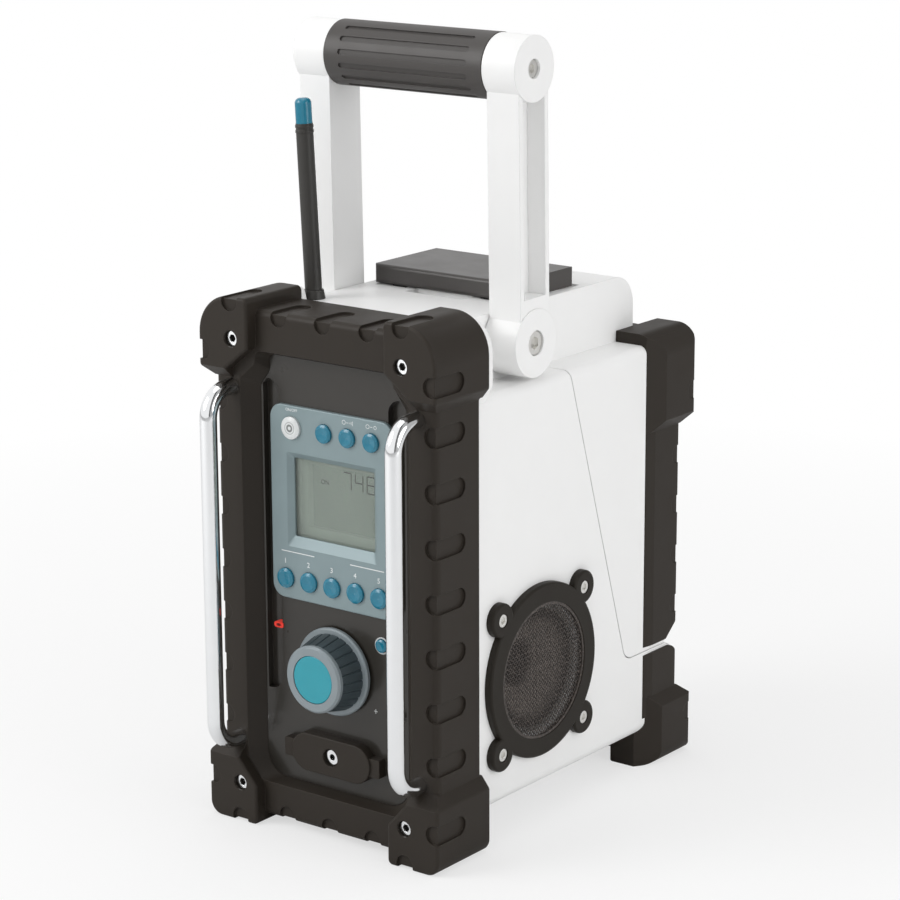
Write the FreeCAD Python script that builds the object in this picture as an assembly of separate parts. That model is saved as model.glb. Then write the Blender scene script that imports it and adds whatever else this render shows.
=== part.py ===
import FreeCAD, Part
import math
import os

V = FreeCAD.Vector

# A compact jobsite radio. Millimetres, +Z up, the front faces -Y.
# Every value of Y below is a depth behind the front corner blocks. save() moves each
# piece so that the origin is at the bottom centre of the whole radio.

# Outer frame, the dark bumper mouldings. The width is built up from the panel outward.
PANEL_HALF = 50.5
MOUTH_SLOPE = 8.0
COLUMN_WIDE = 17.8
BLOCK_PROUD = 5.2
BLOCK_WIDE = 34.7
OPENING_HALF = PANEL_HALF + MOUTH_SLOPE
FRAME_HALF = OPENING_HALF + COLUMN_WIDE
BLOCK_HALF = FRAME_HALF + BLOCK_PROUD
BLOCK_INNER = BLOCK_HALF - BLOCK_WIDE
BLOCK_TOP = 302.0
TOP_BLOCK_HIGH = 40.0
TOP_BLOCK_FOOT = BLOCK_TOP - TOP_BLOCK_HIGH
TOP_BLOCK_STEP = 12.0
LOW_BLOCK_TOP = 37.5
BLOCK_EDGE = 1.8
BLOCK_TOP_ROUND = 22.0
BLOCK_LOW_ROUND = 8.0
BLOCK_SLOPE = 6.5
BLOCK_LAP = 2.1
FRAME_FRONT = 7.5
FRAME_REAR = 44.6
BLOCK_DEPTH = FRAME_REAR + BLOCK_LAP
FRAME_TOP = BLOCK_TOP - 6.8
FRAME_FOOT = 4.7
FRAME_ROUND = 14.0
OPENING_TOP = FRAME_TOP - 22.7
OPENING_FOOT = 25.0

# Tread notches in the edges of the frame
NOTCH_HIGH = 11.0
NOTCH_DEEP = 1.5
NOTCH_ON_FRONT = 8.0
NOTCH_ON_SIDE = 25.0
REAR_NOTCH_DEEP = 0.8
REAR_NOTCH_ON_SIDE = 8.0
NOTCH_PITCH = 30.4
NOTCH_MIDDLE = 150.4
NOTCHES_PER_COLUMN = 7
RAIL_NOTCHES = 3
RAIL_NOTCH_PITCH = 30.5

# White housing
BUMPER_STEP = 1.3
SIDE_HALF = FRAME_HALF - BUMPER_STEP
WALL = 2.5
HOUSING_FOOT = 20.0
HOUSING_REAR = 238.0
SHOULDER_WIDE = 21.5
DECK_HALF = SIDE_HALF - SHOULDER_WIDE
DECK_TOP = BLOCK_TOP - 9.5
DECK_REAR = HOUSING_REAR - 14.0
DECK_ROUND = 18.0
LEDGE_TOP = DECK_TOP - 37.5
LEDGE_ROUND = 5.0
FOOT_ROUND = 8.0
COLLAR_INSET = 1.5
COLLAR_HALF = BLOCK_HALF - COLLAR_INSET
COLLAR_TOP = BLOCK_TOP - 2.0
COLLAR_REAR = FRAME_REAR + 7.4
TUCK_GAP = 0.3
TUCK_FRONT = 20.0

# The joint line between the front housing and the rear cover, and the cover's hinge
SPLIT_TOP_Y = 118.5
SPLIT_LOW_Y = HOUSING_REAR - 50.0
SPLIT_Z = 71.5
SPLIT_ROUND = 9.0
SPLIT_GAP = 0.25
HINGE_R = 5.0
HINGE_Y = HOUSING_REAR - HINGE_R
HINGE_PIN_R = 2.0
HINGE_FIT = 0.06
HINGE_CLEAR = 0.6
KNUCKLES = 5
KNUCKLE_SPAN = 116.0
KNUCKLE_GAP = 0.4

# Rear bumper
REAR_COLUMN_REAR = HOUSING_REAR + 3.0
TOTAL_DEPTH = REAR_COLUMN_REAR + 8.4
REAR_FRONT = HOUSING_REAR - 31.5
REAR_BLOCK_FRONT = HOUSING_REAR - 20.0
REAR_TOP = LEDGE_TOP + 6.5
REAR_BLOCK_HIGH = 51.5
REAR_BLOCK_FOOT = REAR_TOP - REAR_BLOCK_HIGH
REAR_BLOCK_ROUND = 13.0
REAR_RAIL_SINK = 2.0
REAR_RAIL_HIGH = 22.0
UPPER_FOOT = SPLIT_Z + 2.5
LOWER_TOP = SPLIT_Z - 2.3
FOOT_FRONT = REAR_FRONT - 2.5
FOOT_INNER = BLOCK_HALF - 27.5
LOW_BLOCK_HIGH = 36.0
HINGE_NOTCH = 10.0

# Front panel, the dark glossy fascia and the grey display bezel
PANEL_FRONT = 15.5
PANEL_THICK = 2.5
PANEL_FOOT = OPENING_FOOT + 2.0
PANEL_TOP = OPENING_TOP - 2.5
PANEL_NECK = BLOCK_INNER - 2.8
PANEL_SHOULDER = PANEL_TOP - 18.0
PANEL_FIT = 0.15
GROOVE_FOOT = 78.0
GROOVE_TOP = PANEL_SHOULDER + 4.0
GROOVE_INNER = 38.2
GROOVE_DEEP = 4.0
GROOVE_WALL = 1.2
BEZEL_FRONT = PANEL_FRONT - 2.2
BEZEL_SIDE = 7.8
BEZEL_HALF = PANEL_HALF - BEZEL_SIDE
BEZEL_HIGH = 109.8
BEZEL_TOP = PANEL_TOP - 26.5
BEZEL_FOOT = BEZEL_TOP - BEZEL_HIGH
BEZEL_ROUND = 8.0
BEZEL_DEEP = PANEL_FRONT + 1.5
BEZEL_SEAT = 0.3
WINDOW_HALF = BEZEL_HALF - 11.4
WINDOW_HIGH = 53.5
WINDOW_TOP = BEZEL_TOP - 26.2
WINDOW_FOOT = WINDOW_TOP - WINDOW_HIGH
LCD_HALF = WINDOW_HALF - 3.3
LCD_FOOT = WINDOW_FOOT + 5.7
LCD_TOP = WINDOW_TOP - 3.3
LENS_THICK = 1.2
LCD_THICK = 5.0
BOARD_FRONT = PANEL_FRONT + 11.5
BOARD_THICK = 1.6
BOARD_HALF = PANEL_HALF - 4.5
BOARD_FOOT = 62.0
BOARD_TOP = PANEL_SHOULDER

# Buttons
BUTTON_TRAVEL = 0.8
BUTTON_FIT = 0.1
BUTTON_PROUD = 2.0
BUTTON_LIP = 1.0
BUTTON_STEM_R = 1.8
SWITCH_SIZE = 6.0
SWITCH_HIGH = 1.6
PRESET_Z = BEZEL_FOOT + 11.6
PRESET_PITCH = 16.4
PRESET_R = 5.6
TOP_ROW_Z = BEZEL_TOP - 12.3
TOP_ROW_PITCH = 16.3
TOP_ROW_FIRST = -4.4
TOP_BUTTON_R = 5.2
POWER_X = -27.2
POWER_R = 6.3
SCAN_X = 32.5
SCAN_Z = BEZEL_FOOT - 15.7
SCAN_R = 3.7
SCAN_LIP = 0.5

# Indicator window beside the knob
INDICATOR_X = -40.7
INDICATOR_Z = SCAN_Z - 2.0
INDICATOR_WIDE = 6.6
INDICATOR_HIGH = 3.2
INDICATOR_PROUD = 0.4

# Tuning knob and encoder
KNOB_Z = 97.3
KNOB_LONG = 19.1
KNOB_REAR = PANEL_FRONT - 1.4
KNOB_FRONT = KNOB_REAR - KNOB_LONG
FLANGE_R = 25.0
FLANGE_THICK = 2.6
SKIRT_BASE_R = 22.0
SKIRT_R = 19.0
RING_LONG = 3.2
KNOB_CAP_R = 13.6
FLUTES = 24
FLUTE_R = 0.9
KNOB_BORE_R = 17.0
KNOB_TRAVEL = 0.8
SHAFT_R = 3.0
SHAFT_FIT = 0.05
SLIDER_R = 4.5
ENCODER_HALF = 7.0
ENCODER_FRONT = BOARD_FRONT - 7.0

# Auxiliary input boss
AUX_Z = 48.0
AUX_FRONT = PANEL_FRONT - 6.5
AUX_HALF = 27.8
AUX_R = 11.1
LUG_HALF = 33.6
LUG_HIGH = 10.6
LUG_STEP = 1.3
AUX_WELL_R = 5.2
AUX_WELL_DEEP = 3.0
JACK_R = 4.2
JACK_BORE_R = 1.8
JACK_LONG = 14.0

# Chrome guard bars
BAR_X = FRAME_HALF - 12.3
BAR_R = 4.75
BAR_FRONT = -13.0
BAR_TOP = TOP_BLOCK_FOOT - 11.5
BAR_FOOT = LOW_BLOCK_TOP + 10.0
BAR_BEND = 15.0
BAR_SEAT = FRAME_FRONT + 7.0

# Frame screws
SCREW_X = BLOCK_HALF - 23.0
SCREW_TOP_Z = TOP_BLOCK_FOOT + 16.8
SCREW_LOW_Z = LOW_BLOCK_TOP - 14.4
SCREW_HEAD_R = 4.0
SCREW_HEAD_HIGH = 4.0
SCREW_SUNK = 2.0
SCREW_R = 2.0
SCREW_LONG = 26.0

# Speakers
SPEAKER_Y = 101.2
SPEAKER_Z = 90.1
RING_R = 50.0
RING_BORE_R = 39.0
RING_PROUD = 4.5
EAR_SPAN = 77.4
EAR_R = 9.7
EAR_HEAD_R = 3.6
EAR_SCREW_R = 1.6
GRILLE_BACK = 1.0
GRILLE_THICK = 0.8
GRILLE_PITCH = 6.6
GRILLE_HOLE = 4.4
BASKET_R = 38.0
BASKET_DEEP = 22.0
CONE_R = 34.0
CONE_NECK_R = 11.0
CONE_DEEP = 14.0
CONE_THICK = 0.8
MAGNET_R = 24.0
MAGNET_THICK = 10.0

# Flexible antenna
ANTENNA_X = 4.5 - DECK_HALF
ANTENNA_Y = COLLAR_REAR + 8.0
ANTENNA_R = 4.8
ANTENNA_LONG = 111.0
ANTENNA_LEAN = 3.0
ANTENNA_TIP = 14.0
ANTENNA_BASE_R = 6.4
ANTENNA_BASE_HIGH = 5.0

# Carrying handle
HUB_R = 19.0
PIVOT_Y = 97.5
PIVOT_Z = LEDGE_TOP + HUB_R + 2.5
GRIP_Y = PIVOT_Y - 2.6
GRIP_Z = PIVOT_Z + 148.5
ARM_INNER = DECK_HALF + 0.5
ARM_OUTER = ARM_INNER + 21.5
ARM_HALF = 13.2
GRIP_HUB_R = 17.9
CHANNEL_HALF = 9.8
CHANNEL_DEEP = 12.0
CHANNEL_FOOT = 25.0
PIVOT_BOLT_R = 4.0
PIVOT_FIT = 0.06
PIVOT_HEAD_R = 6.5
PIVOT_HEAD_HIGH = 3.5
CROSSBAR_R = 12.6
SPIGOT_R = 9.0
SPIGOT_LONG = 8.0
GRIP_R = 18.2
GRIP_FIT = 0.3
GROOVE_WIDE = 3.0
GROOVE_CUT = 1.0
GROOVE_LONG = 88.0
GROOVE_STEP = 24.0
GROOVES_PER_SIDE = 6
GROOVE_HIGHEST = 56.0

# Latch lever on top of the cover
LATCH_LONG = 60.0
LATCH_FRONT = SPLIT_TOP_Y - 6.5
LATCH_REAR = LATCH_FRONT + LATCH_LONG
LATCH_HALF = DECK_HALF - 5.5
LATCH_FOOT = DECK_TOP + 0.5
LATCH_TOP = LATCH_FOOT + 11.0
LATCH_WALL = 2.5
LATCH_PIN_Y = LATCH_REAR - 6.0
LATCH_PIN_Z = LATCH_FOOT + 5.0
LATCH_PIN_R = 1.5
LATCH_FIT = 0.06
LATCH_LUG_X = 30.0
LATCH_LUG_WIDE = 8.0
LATCH_NOTCH = 2.3
LATCH_WELL_DEEP = 5.0
TONGUE_X = 32.0
TONGUE_WIDE = 10.0
TONGUE_LONG = 7.0
SCOOP_HALF = 20.0
SCOOP_DEEP = 7.0
SCOOP_FRONT = LATCH_FRONT - 8.0
SCOOP_RUN = 4.0

# Battery mount and supply socket
BATTERY_MOUNT_Z = 168.0
BATTERY_MOUNT_HALF = 28.0
BATTERY_MOUNT_LONG = 62.0
BATTERY_MOUNT_THICK = 9.0
RAIL_LIP = 4.0
DC_Z = 48.0
DC_R = 5.5
DC_BORE_R = 2.75
DC_LONG = 12.0

FRONTMOST = BAR_FRONT - BAR_R
CENTRE_Y = (FRONTMOST + TOTAL_DEPTH) / 2.0
BIG = 400.0


def save(node, shape):
    """Write one named piece, moved to the radio's own origin."""
    placed = shape.copy()
    placed.translate(V(0, -CENTRE_Y, 0))
    placed.exportStep("parts/" + node + ".step")


# Drawing helpers

def front_point(a, b, depth):
    return V(a, depth, b)


def side_point(a, b, depth):
    return V(depth, a, b)


def top_point(a, b, depth):
    return V(a, b, depth)


def outline(corners, place, depth):
    """A closed wire through corners (a, b, radius), each corner rounded by a tangent arc."""
    rounded = []
    for i, (a, b, radius) in enumerate(corners):
        here = V(a, b, 0)
        before = V(corners[i - 1][0], corners[i - 1][1], 0)
        after = V(corners[(i + 1) % len(corners)][0], corners[(i + 1) % len(corners)][1], 0)
        back = (before - here).normalize()
        ahead = (after - here).normalize()
        if radius <= 0:
            rounded.append((here, None, here))
            continue
        half = back.getAngle(ahead) / 2.0
        reach = radius / math.tan(half)
        bisector = (back + ahead).normalize()
        middle = here + bisector * (radius / math.sin(half) - radius)
        rounded.append((here + back * reach, middle, here + ahead * reach))
    edges = []
    for i, (start, middle, end) in enumerate(rounded):
        following = rounded[(i + 1) % len(rounded)][0]
        if middle is not None:
            points = [place(p.x, p.y, depth) for p in (start, middle, end)]
            edges.append(Part.Arc(*points).toShape())
        if (following - end).Length > 1e-6:
            line = Part.LineSegment(place(end.x, end.y, depth), place(following.x, following.y, depth))
            edges.append(line.toShape())
    return Part.Wire(edges)


def prism(corners, place, low, high):
    """A solid with the given outline between two depths."""
    face = Part.Face(outline(corners, place, low))
    return face.extrude(place(0, 0, high) - place(0, 0, low))


def taper(corners_a, depth_a, corners_b, depth_b, place):
    """A solid between two outlines that have the same number of corners."""
    wires = [outline(corners_a, place, depth_a), outline(corners_b, place, depth_b)]
    return Part.makeLoft(wires, True, True)


def rectangle(a0, a1, b0, b1, radius=0.0):
    return [(a0, b0, radius), (a1, b0, radius), (a1, b1, radius), (a0, b1, radius)]


def box(x0, x1, y0, y1, z0, z1):
    return Part.makeBox(x1 - x0, y1 - y0, z1 - z0, V(x0, y0, z0))


def rod_x(radius, y, z, x0, x1):
    return Part.makeCylinder(radius, x1 - x0, V(x0, y, z), V(1, 0, 0))


def rod_y(radius, x, z, y0, y1):
    return Part.makeCylinder(radius, y1 - y0, V(x, y0, z), V(0, 1, 0))


def cone_y(radius0, radius1, x, z, y0, y1):
    return Part.makeCone(radius0, radius1, y1 - y0, V(x, y0, z), V(0, 1, 0))


def mirrored(shape):
    return shape.mirror(V(0, 0, 0), V(1, 0, 0))


def both_sides(shape):
    return [shape, mirrored(shape)]


def fused(shapes):
    whole = shapes[0].multiFuse(shapes[1:])
    return whole.removeSplitter()


def edges_at(shape, test):
    """Edges whose two ends and middle all pass the test."""
    found = []
    for edge in shape.Edges:
        points = [v.Point for v in edge.Vertexes]
        points.append(edge.valueAt((edge.FirstParameter + edge.LastParameter) / 2.0))
        if all(test(p) for p in points):
            found.append(edge)
    return found


def hex_socket(x, y, z, across, direction):
    """A six-sided recess that opens at (x, y, z) and runs along direction."""
    radius = across / math.sqrt(3.0)
    turn = FreeCAD.Rotation(V(0, 0, 1), direction)
    corners = []
    for i in range(7):
        angle = math.radians(60.0 * i)
        corners.append(V(x, y, z) + turn.multVec(V(radius * math.cos(angle), radius * math.sin(angle), 0)))
    return Part.Face(Part.makePolygon(corners)).extrude(direction)


# The white body, drawn once and shared by the front housing and the rear cover

def body_form(inset):
    """The outer form of the white body, or its cavity when inset by the wall."""
    lower_outline = [
        (-SIDE_HALF + inset, HOUSING_FOOT + inset, FOOT_ROUND - inset),
        (SIDE_HALF - inset, HOUSING_FOOT + inset, FOOT_ROUND - inset),
        (SIDE_HALF - inset, LEDGE_TOP - inset, LEDGE_ROUND - inset),
        (-SIDE_HALF + inset, LEDGE_TOP - inset, LEDGE_ROUND - inset),
    ]
    lower = prism(lower_outline, front_point, FRAME_REAR + inset, HOUSING_REAR - inset)
    low_rear = HOUSING_REAR - inset
    lower_side = [
        (FRAME_REAR, HOUSING_FOOT + inset, 0),
        (low_rear, HOUSING_FOOT + inset, FOOT_ROUND - inset),
        (low_rear, LEDGE_TOP - inset, LEDGE_ROUND - inset),
        (FRAME_REAR, LEDGE_TOP - inset, 0),
    ]
    lower = lower.common(prism(lower_side, side_point, -BIG, BIG))
    deck_side = [
        (FRAME_REAR + inset, LEDGE_TOP - WALL - inset, 0),
        (DECK_REAR - inset, LEDGE_TOP - WALL - inset, 0),
        (DECK_REAR - inset, DECK_TOP - inset, DECK_ROUND - inset),
        (FRAME_REAR + inset, DECK_TOP - inset, 0),
    ]
    deck = prism(deck_side, side_point, -DECK_HALF + inset, DECK_HALF - inset)
    return lower.fuse(deck)


def front_region(gap):
    """All that lies in front of and below the joint line, pulled back by gap."""
    slope = (SPLIT_LOW_Y - SPLIT_TOP_Y) / (DECK_TOP - SPLIT_Z)
    high = DECK_TOP + WALL * 10
    corners = [
        (-BIG, -BIG, 0),
        (BIG, -BIG, 0),
        (BIG, SPLIT_Z - gap, 0),
        (SPLIT_LOW_Y - gap, SPLIT_Z - gap, SPLIT_ROUND),
        (SPLIT_TOP_Y - slope * (high - DECK_TOP) - gap, high, 0),
        (-BIG, high, 0),
    ]
    return prism(corners, side_point, -BIG, BIG)


def top_block_round():
    """The big outer radius of a top block, which leaves a straight run below it."""
    return min(BLOCK_TOP_ROUND, TOP_BLOCK_HIGH * 0.8)


def collar_corner():
    """The corner of the collar that stands behind one top corner block."""
    corners = [
        (BLOCK_INNER, LEDGE_TOP - WALL, 0),
        (SIDE_HALF, LEDGE_TOP - WALL, 0),
        (COLLAR_HALF, TOP_BLOCK_FOOT, 1.0),
        (COLLAR_HALF, COLLAR_TOP, top_block_round() - COLLAR_INSET),
        (BLOCK_INNER + WALL, COLLAR_TOP, 3.0),
        (BLOCK_INNER, DECK_TOP - WALL, 0),
    ]
    return prism(corners, front_point, FRAME_REAR, COLLAR_REAR)


def tuck(inset, rear=FRAME_REAR + WALL):
    """The sleeve of the housing that slides into the front bumper."""
    half = FRAME_HALF - NOTCH_DEEP - WALL - TUCK_GAP - inset
    low = HOUSING_FOOT + WALL + inset
    high = FRAME_TOP - NOTCH_DEEP - WALL - TUCK_GAP - inset
    return prism(rectangle(-half, half, low, high, 10.0 - inset), front_point, TUCK_FRONT, rear + inset)


def hinge_barrels(odd):
    """Knuckles of the cover hinge: the odd ones stand on the housing, the others on the cover."""
    pitch = KNUCKLE_SPAN / KNUCKLES
    shapes = []
    for i in range(KNUCKLES):
        if (i % 2 == 0) != odd:
            continue
        x0 = -KNUCKLE_SPAN / 2.0 + i * pitch + KNUCKLE_GAP / 2.0
        x1 = x0 + pitch - KNUCKLE_GAP
        shapes.append((x0, x1))
    return shapes


def hinge_room():
    """The space round the hinge that both shells leave free."""
    reach = HINGE_R + HINGE_CLEAR
    half = KNUCKLE_SPAN / 2.0 + KNUCKLE_GAP
    return box(-half, half, HINGE_Y - reach, HOUSING_REAR + 1.0, SPLIT_Z - reach, SPLIT_Z + reach)


def knuckle(x0, x1, toward):
    """One barrel with a web to its own wall, above the pin or below it."""
    barrel = rod_x(HINGE_R, HINGE_Y, SPLIT_Z, x0, x1)
    reach = HINGE_R + HINGE_CLEAR + WALL
    low = min(SPLIT_Z, SPLIT_Z + toward * reach)
    high = max(SPLIT_Z, SPLIT_Z + toward * reach)
    web = box(x0, x1, HINGE_Y, HOUSING_REAR, low, high)
    return barrel.fuse(web)


def shell_corner_cut(upper):
    """Clears the shells' rear corners beside the hinge, so that the cover can swing down."""
    start = HINGE_Y - HINGE_R
    if upper:
        corners = [
            (start, SPLIT_Z - 1.0, 0),
            (BIG, SPLIT_Z - 1.0, 0),
            (BIG, SPLIT_Z + HINGE_NOTCH + (BIG - HOUSING_REAR), 0),
            (HOUSING_REAR, SPLIT_Z + HINGE_NOTCH, 0),
            (start, SPLIT_Z, 0),
        ]
        return prism(corners, side_point, -BIG, BIG)
    room = box(-BIG, BIG, start, BIG, SPLIT_Z - HINGE_NOTCH, SPLIT_Z + 1.0)
    keep = rod_x(HINGE_NOTCH, start, SPLIT_Z - HINGE_NOTCH, -BIG, BIG)
    return room.cut(keep)


def speaker_holes():
    hole = rod_x(RING_BORE_R - 2.0, SPEAKER_Y, SPEAKER_Z, SIDE_HALF - WALL * 2, SIDE_HALF + 1.0)
    for y, z in ear_centres():
        hole = hole.fuse(rod_x(EAR_SCREW_R, y, z, SIDE_HALF - WALL * 2, SIDE_HALF + 1.0))
    return both_sides(hole)


def ear_centres():
    half = EAR_SPAN / 2.0
    centres = []
    for sign_y in (-1, 1):
        for sign_z in (-1, 1):
            centres.append((SPEAKER_Y + sign_y * half, SPEAKER_Z + sign_z * half))
    return centres


def screw_places():
    places = []
    for x in (-SCREW_X, SCREW_X):
        for z in (SCREW_LOW_Z, SCREW_TOP_Z):
            places.append((x, z))
    return places


def front_housing():
    shell = body_form(0).common(front_region(SPLIT_GAP))
    shell = shell.fuse(both_sides(collar_corner()))
    shell = shell.fuse(tuck(0))
    cavity = body_form(WALL).common(front_region(SPLIT_GAP + WALL))
    shell = shell.cut(cavity).cut(tuck(WALL)).cut(shell_corner_cut(False)).cut(hinge_room())
    bosses = []
    for x, z in screw_places():
        bosses.append(rod_y(SCREW_R + WALL, x, z, SCREW_LONG - WALL, COLLAR_REAR))
    sleeve = tuck(0, COLLAR_REAR)
    shell = fused([shell] + [b.common(sleeve) for b in bosses])
    for x, z in screw_places():
        shell = shell.cut(rod_y(SCREW_R, x, z, 0, SCREW_SUNK + SCREW_HEAD_HIGH + SCREW_LONG))
    knuckles = [knuckle(x0, x1, -1) for x0, x1 in hinge_barrels(True)]
    shell = fused([shell] + knuckles)
    shell = shell.cut(rod_x(HINGE_PIN_R, HINGE_Y, SPLIT_Z, -KNUCKLE_SPAN, KNUCKLE_SPAN))
    for hole in speaker_holes():
        shell = shell.cut(hole)
    shell = shell.cut(latch_openings())
    shell = fused([shell, scoop_tray()]).cut(scoop(0))
    shell = fused([shell] + both_sides(pivot_boss()))
    for bore in both_sides(rod_x(PIVOT_BOLT_R - 1.0, PIVOT_Y, PIVOT_Z, DECK_HALF - PIVOT_HEAD_R * 3, BIG)):
        shell = shell.cut(bore)
    shell = shell.cut(rod_y(DC_R, 0, DC_Z, HOUSING_REAR - WALL * 2, HOUSING_REAR + 1.0))
    shell = shell.cut(antenna_hole())
    return shell


def pivot_boss():
    """Thickened wall behind the handle hub, tapped for the pivot bolt."""
    return rod_x(PIVOT_BOLT_R + WALL, PIVOT_Y, PIVOT_Z, DECK_HALF - PIVOT_HEAD_R * 2, DECK_HALF - WALL / 2.0)


def latch_openings():
    """Slots in the deck that the two latch tongues drop into, open to the rear."""
    cuts = []
    for sign in (-1, 1):
        x = sign * TONGUE_X
        half = TONGUE_WIDE / 2.0 + 1.0
        cuts.append(box(x - half, x + half, LATCH_FRONT + 1.0, SPLIT_TOP_Y + WALL * 2,
                        DECK_TOP - TONGUE_LONG - 1.0, DECK_TOP + 1.0))
    return cuts[0].fuse(cuts[1])


def scoop(wall):
    """The finger recess under the front edge of the latch, grown by wall for its tray."""
    corners = [
        (SCOOP_FRONT - wall, DECK_TOP + 1.0 - wall * 0.4, 0),
        (SPLIT_TOP_Y - SPLIT_GAP - WALL + wall, DECK_TOP + 1.0 - wall * 0.4, 0),
        (SPLIT_TOP_Y - SPLIT_GAP - WALL + wall, DECK_TOP - SCOOP_DEEP - wall, 0),
        (SCOOP_FRONT + SCOOP_RUN - wall, DECK_TOP - SCOOP_DEEP - wall, 2.0),
    ]
    return prism(corners, side_point, -SCOOP_HALF - wall, SCOOP_HALF + wall)


def scoop_tray():
    return scoop(WALL).common(body_form(0)).common(front_region(SPLIT_GAP))


# Front bumper

def top_block():
    face = [
        (BLOCK_INNER, BLOCK_TOP, 3.0),
        (BLOCK_INNER, TOP_BLOCK_FOOT + TOP_BLOCK_STEP, 3.0),
        (SCREW_X + 5.0, TOP_BLOCK_FOOT - 1.0, 2.5),
        (SCREW_X + 5.0, TOP_BLOCK_FOOT - BLOCK_SLOPE, 0),
        (FRAME_HALF, TOP_BLOCK_FOOT - BLOCK_SLOPE, 0),
        (BLOCK_HALF, TOP_BLOCK_FOOT, 2.5),
        (BLOCK_HALF, BLOCK_TOP, top_block_round()),
    ]
    side = [
        (0, BLOCK_TOP + 1.0, 0),
        (0, TOP_BLOCK_FOOT, 0),
        (FRAME_FRONT, TOP_BLOCK_FOOT - BLOCK_SLOPE, 0),
        (BLOCK_DEPTH, TOP_BLOCK_FOOT - BLOCK_SLOPE, 0),
        (BLOCK_DEPTH, BLOCK_TOP + 1.0, 0),
    ]
    return eased_block(face, side)


def low_block():
    face = [
        (BLOCK_INNER, 0, 3.0),
        (BLOCK_HALF, 0, BLOCK_LOW_ROUND),
        (BLOCK_HALF, LOW_BLOCK_TOP, 2.5),
        (FRAME_HALF, LOW_BLOCK_TOP + BLOCK_SLOPE, 0),
        (SCREW_X + 1.0, LOW_BLOCK_TOP + BLOCK_SLOPE, 0),
        (SCREW_X + 1.0, LOW_BLOCK_TOP, 2.5),
        (BLOCK_INNER, SCREW_LOW_Z, 3.0),
    ]
    side = [
        (0, -1.0, 0),
        (BLOCK_DEPTH, -1.0, 0),
        (BLOCK_DEPTH, LOW_BLOCK_TOP + BLOCK_SLOPE, 0),
        (FRAME_FRONT, LOW_BLOCK_TOP + BLOCK_SLOPE, 0),
        (0, LOW_BLOCK_TOP, 0),
    ]
    return eased_block(face, side)


def eased_block(face, side):
    """A corner block: its front view crossed with its side view, the front edges eased."""
    block = prism(face, front_point, 0, BLOCK_DEPTH)
    rim = edges_at(block, lambda p: abs(p.y) < 1e-4)
    block = block.makeFillet(BLOCK_EDGE, rim)
    return block.common(prism(side, side_point, 0, BLOCK_HALF + 1.0))


def panel_outline(grow):
    """The fascia's outline: rounded foot corners, sloped shoulders and a narrower head."""
    half = PANEL_HALF + grow
    neck = PANEL_NECK + grow
    return [
        (-half, PANEL_FOOT - grow, 14.0),
        (half, PANEL_FOOT - grow, 14.0),
        (half, PANEL_SHOULDER + grow, 4.0),
        (neck, PANEL_SHOULDER + grow + (half - neck) * 1.3, 4.0),
        (neck, PANEL_TOP + grow, 4.0),
        (-neck, PANEL_TOP + grow, 4.0),
        (-neck, PANEL_SHOULDER + grow + (half - neck) * 1.3, 4.0),
        (-half, PANEL_SHOULDER + grow, 4.0),
    ]


def opening_outline():
    """The mouth of the frame, at the front of its columns and rails."""
    neck = BLOCK_INNER + 1.0
    return [
        (-OPENING_HALF, OPENING_FOOT, 14.0),
        (OPENING_HALF, OPENING_FOOT, 14.0),
        (OPENING_HALF, PANEL_SHOULDER + 4.0, 4.0),
        (neck, PANEL_SHOULDER + 13.0, 4.0),
        (neck, OPENING_TOP, 4.0),
        (-neck, OPENING_TOP, 4.0),
        (-neck, PANEL_SHOULDER + 13.0, 4.0),
        (-OPENING_HALF, PANEL_SHOULDER + 4.0, 4.0),
    ]


def tread(x, y, z, along, inward, side_reach, side_deep):
    """A round-ended notch over one edge of the frame. along runs with the edge, inward lies in the
    first face and the third direction in the second."""
    other = along.cross(inward)
    half = NOTCH_HIGH / 2.0
    first = (inward, other, NOTCH_ON_FRONT, NOTCH_DEEP)
    second = (other, inward, side_reach, side_deep)
    shapes = []
    for direction, deep, reach, cut in (first, second):
        origin = V(x, y, z) - deep
        run = reach - half
        low_start = origin - direction - along * half
        low_end = origin + direction * run - along * half
        high_end = origin + direction * run + along * half
        high_start = origin - direction + along * half
        wire = Part.Wire([
            Part.LineSegment(low_start, low_end).toShape(),
            Part.Arc(low_end, origin + direction * reach, high_end).toShape(),
            Part.LineSegment(high_end, high_start).toShape(),
            Part.LineSegment(high_start, low_start).toShape(),
        ])
        shapes.append(Part.Face(wire).extrude(deep * (cut + 1.0)))
    return [shapes[0].fuse(shapes[1])]


def column_levels(middle, count):
    return [middle + NOTCH_PITCH * (i - (count - 1) / 2.0) for i in range(count)]


def side_tread(half, y, z):
    """A notch over the front upright edge at the right side."""
    return tread(half, y, z, V(0, 0, -1), V(-1, 0, 0), NOTCH_ON_SIDE, NOTCH_DEEP)


def rear_side_tread(half, y, z):
    """The same over the rear upright edge, shallower where the rubber over the wall is thin."""
    return tread(half, y, z, V(0, 0, 1), V(-1, 0, 0), REAR_NOTCH_ON_SIDE, REAR_NOTCH_DEEP)


def rail_tread(x, y, z, up, toward):
    """A notch over the top or bottom edge of a rail."""
    inward = V(0, 0, -up)
    along = V(up * toward, 0, 0)
    return tread(x, y, z, along, inward, NOTCH_ON_SIDE, NOTCH_DEEP)


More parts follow.
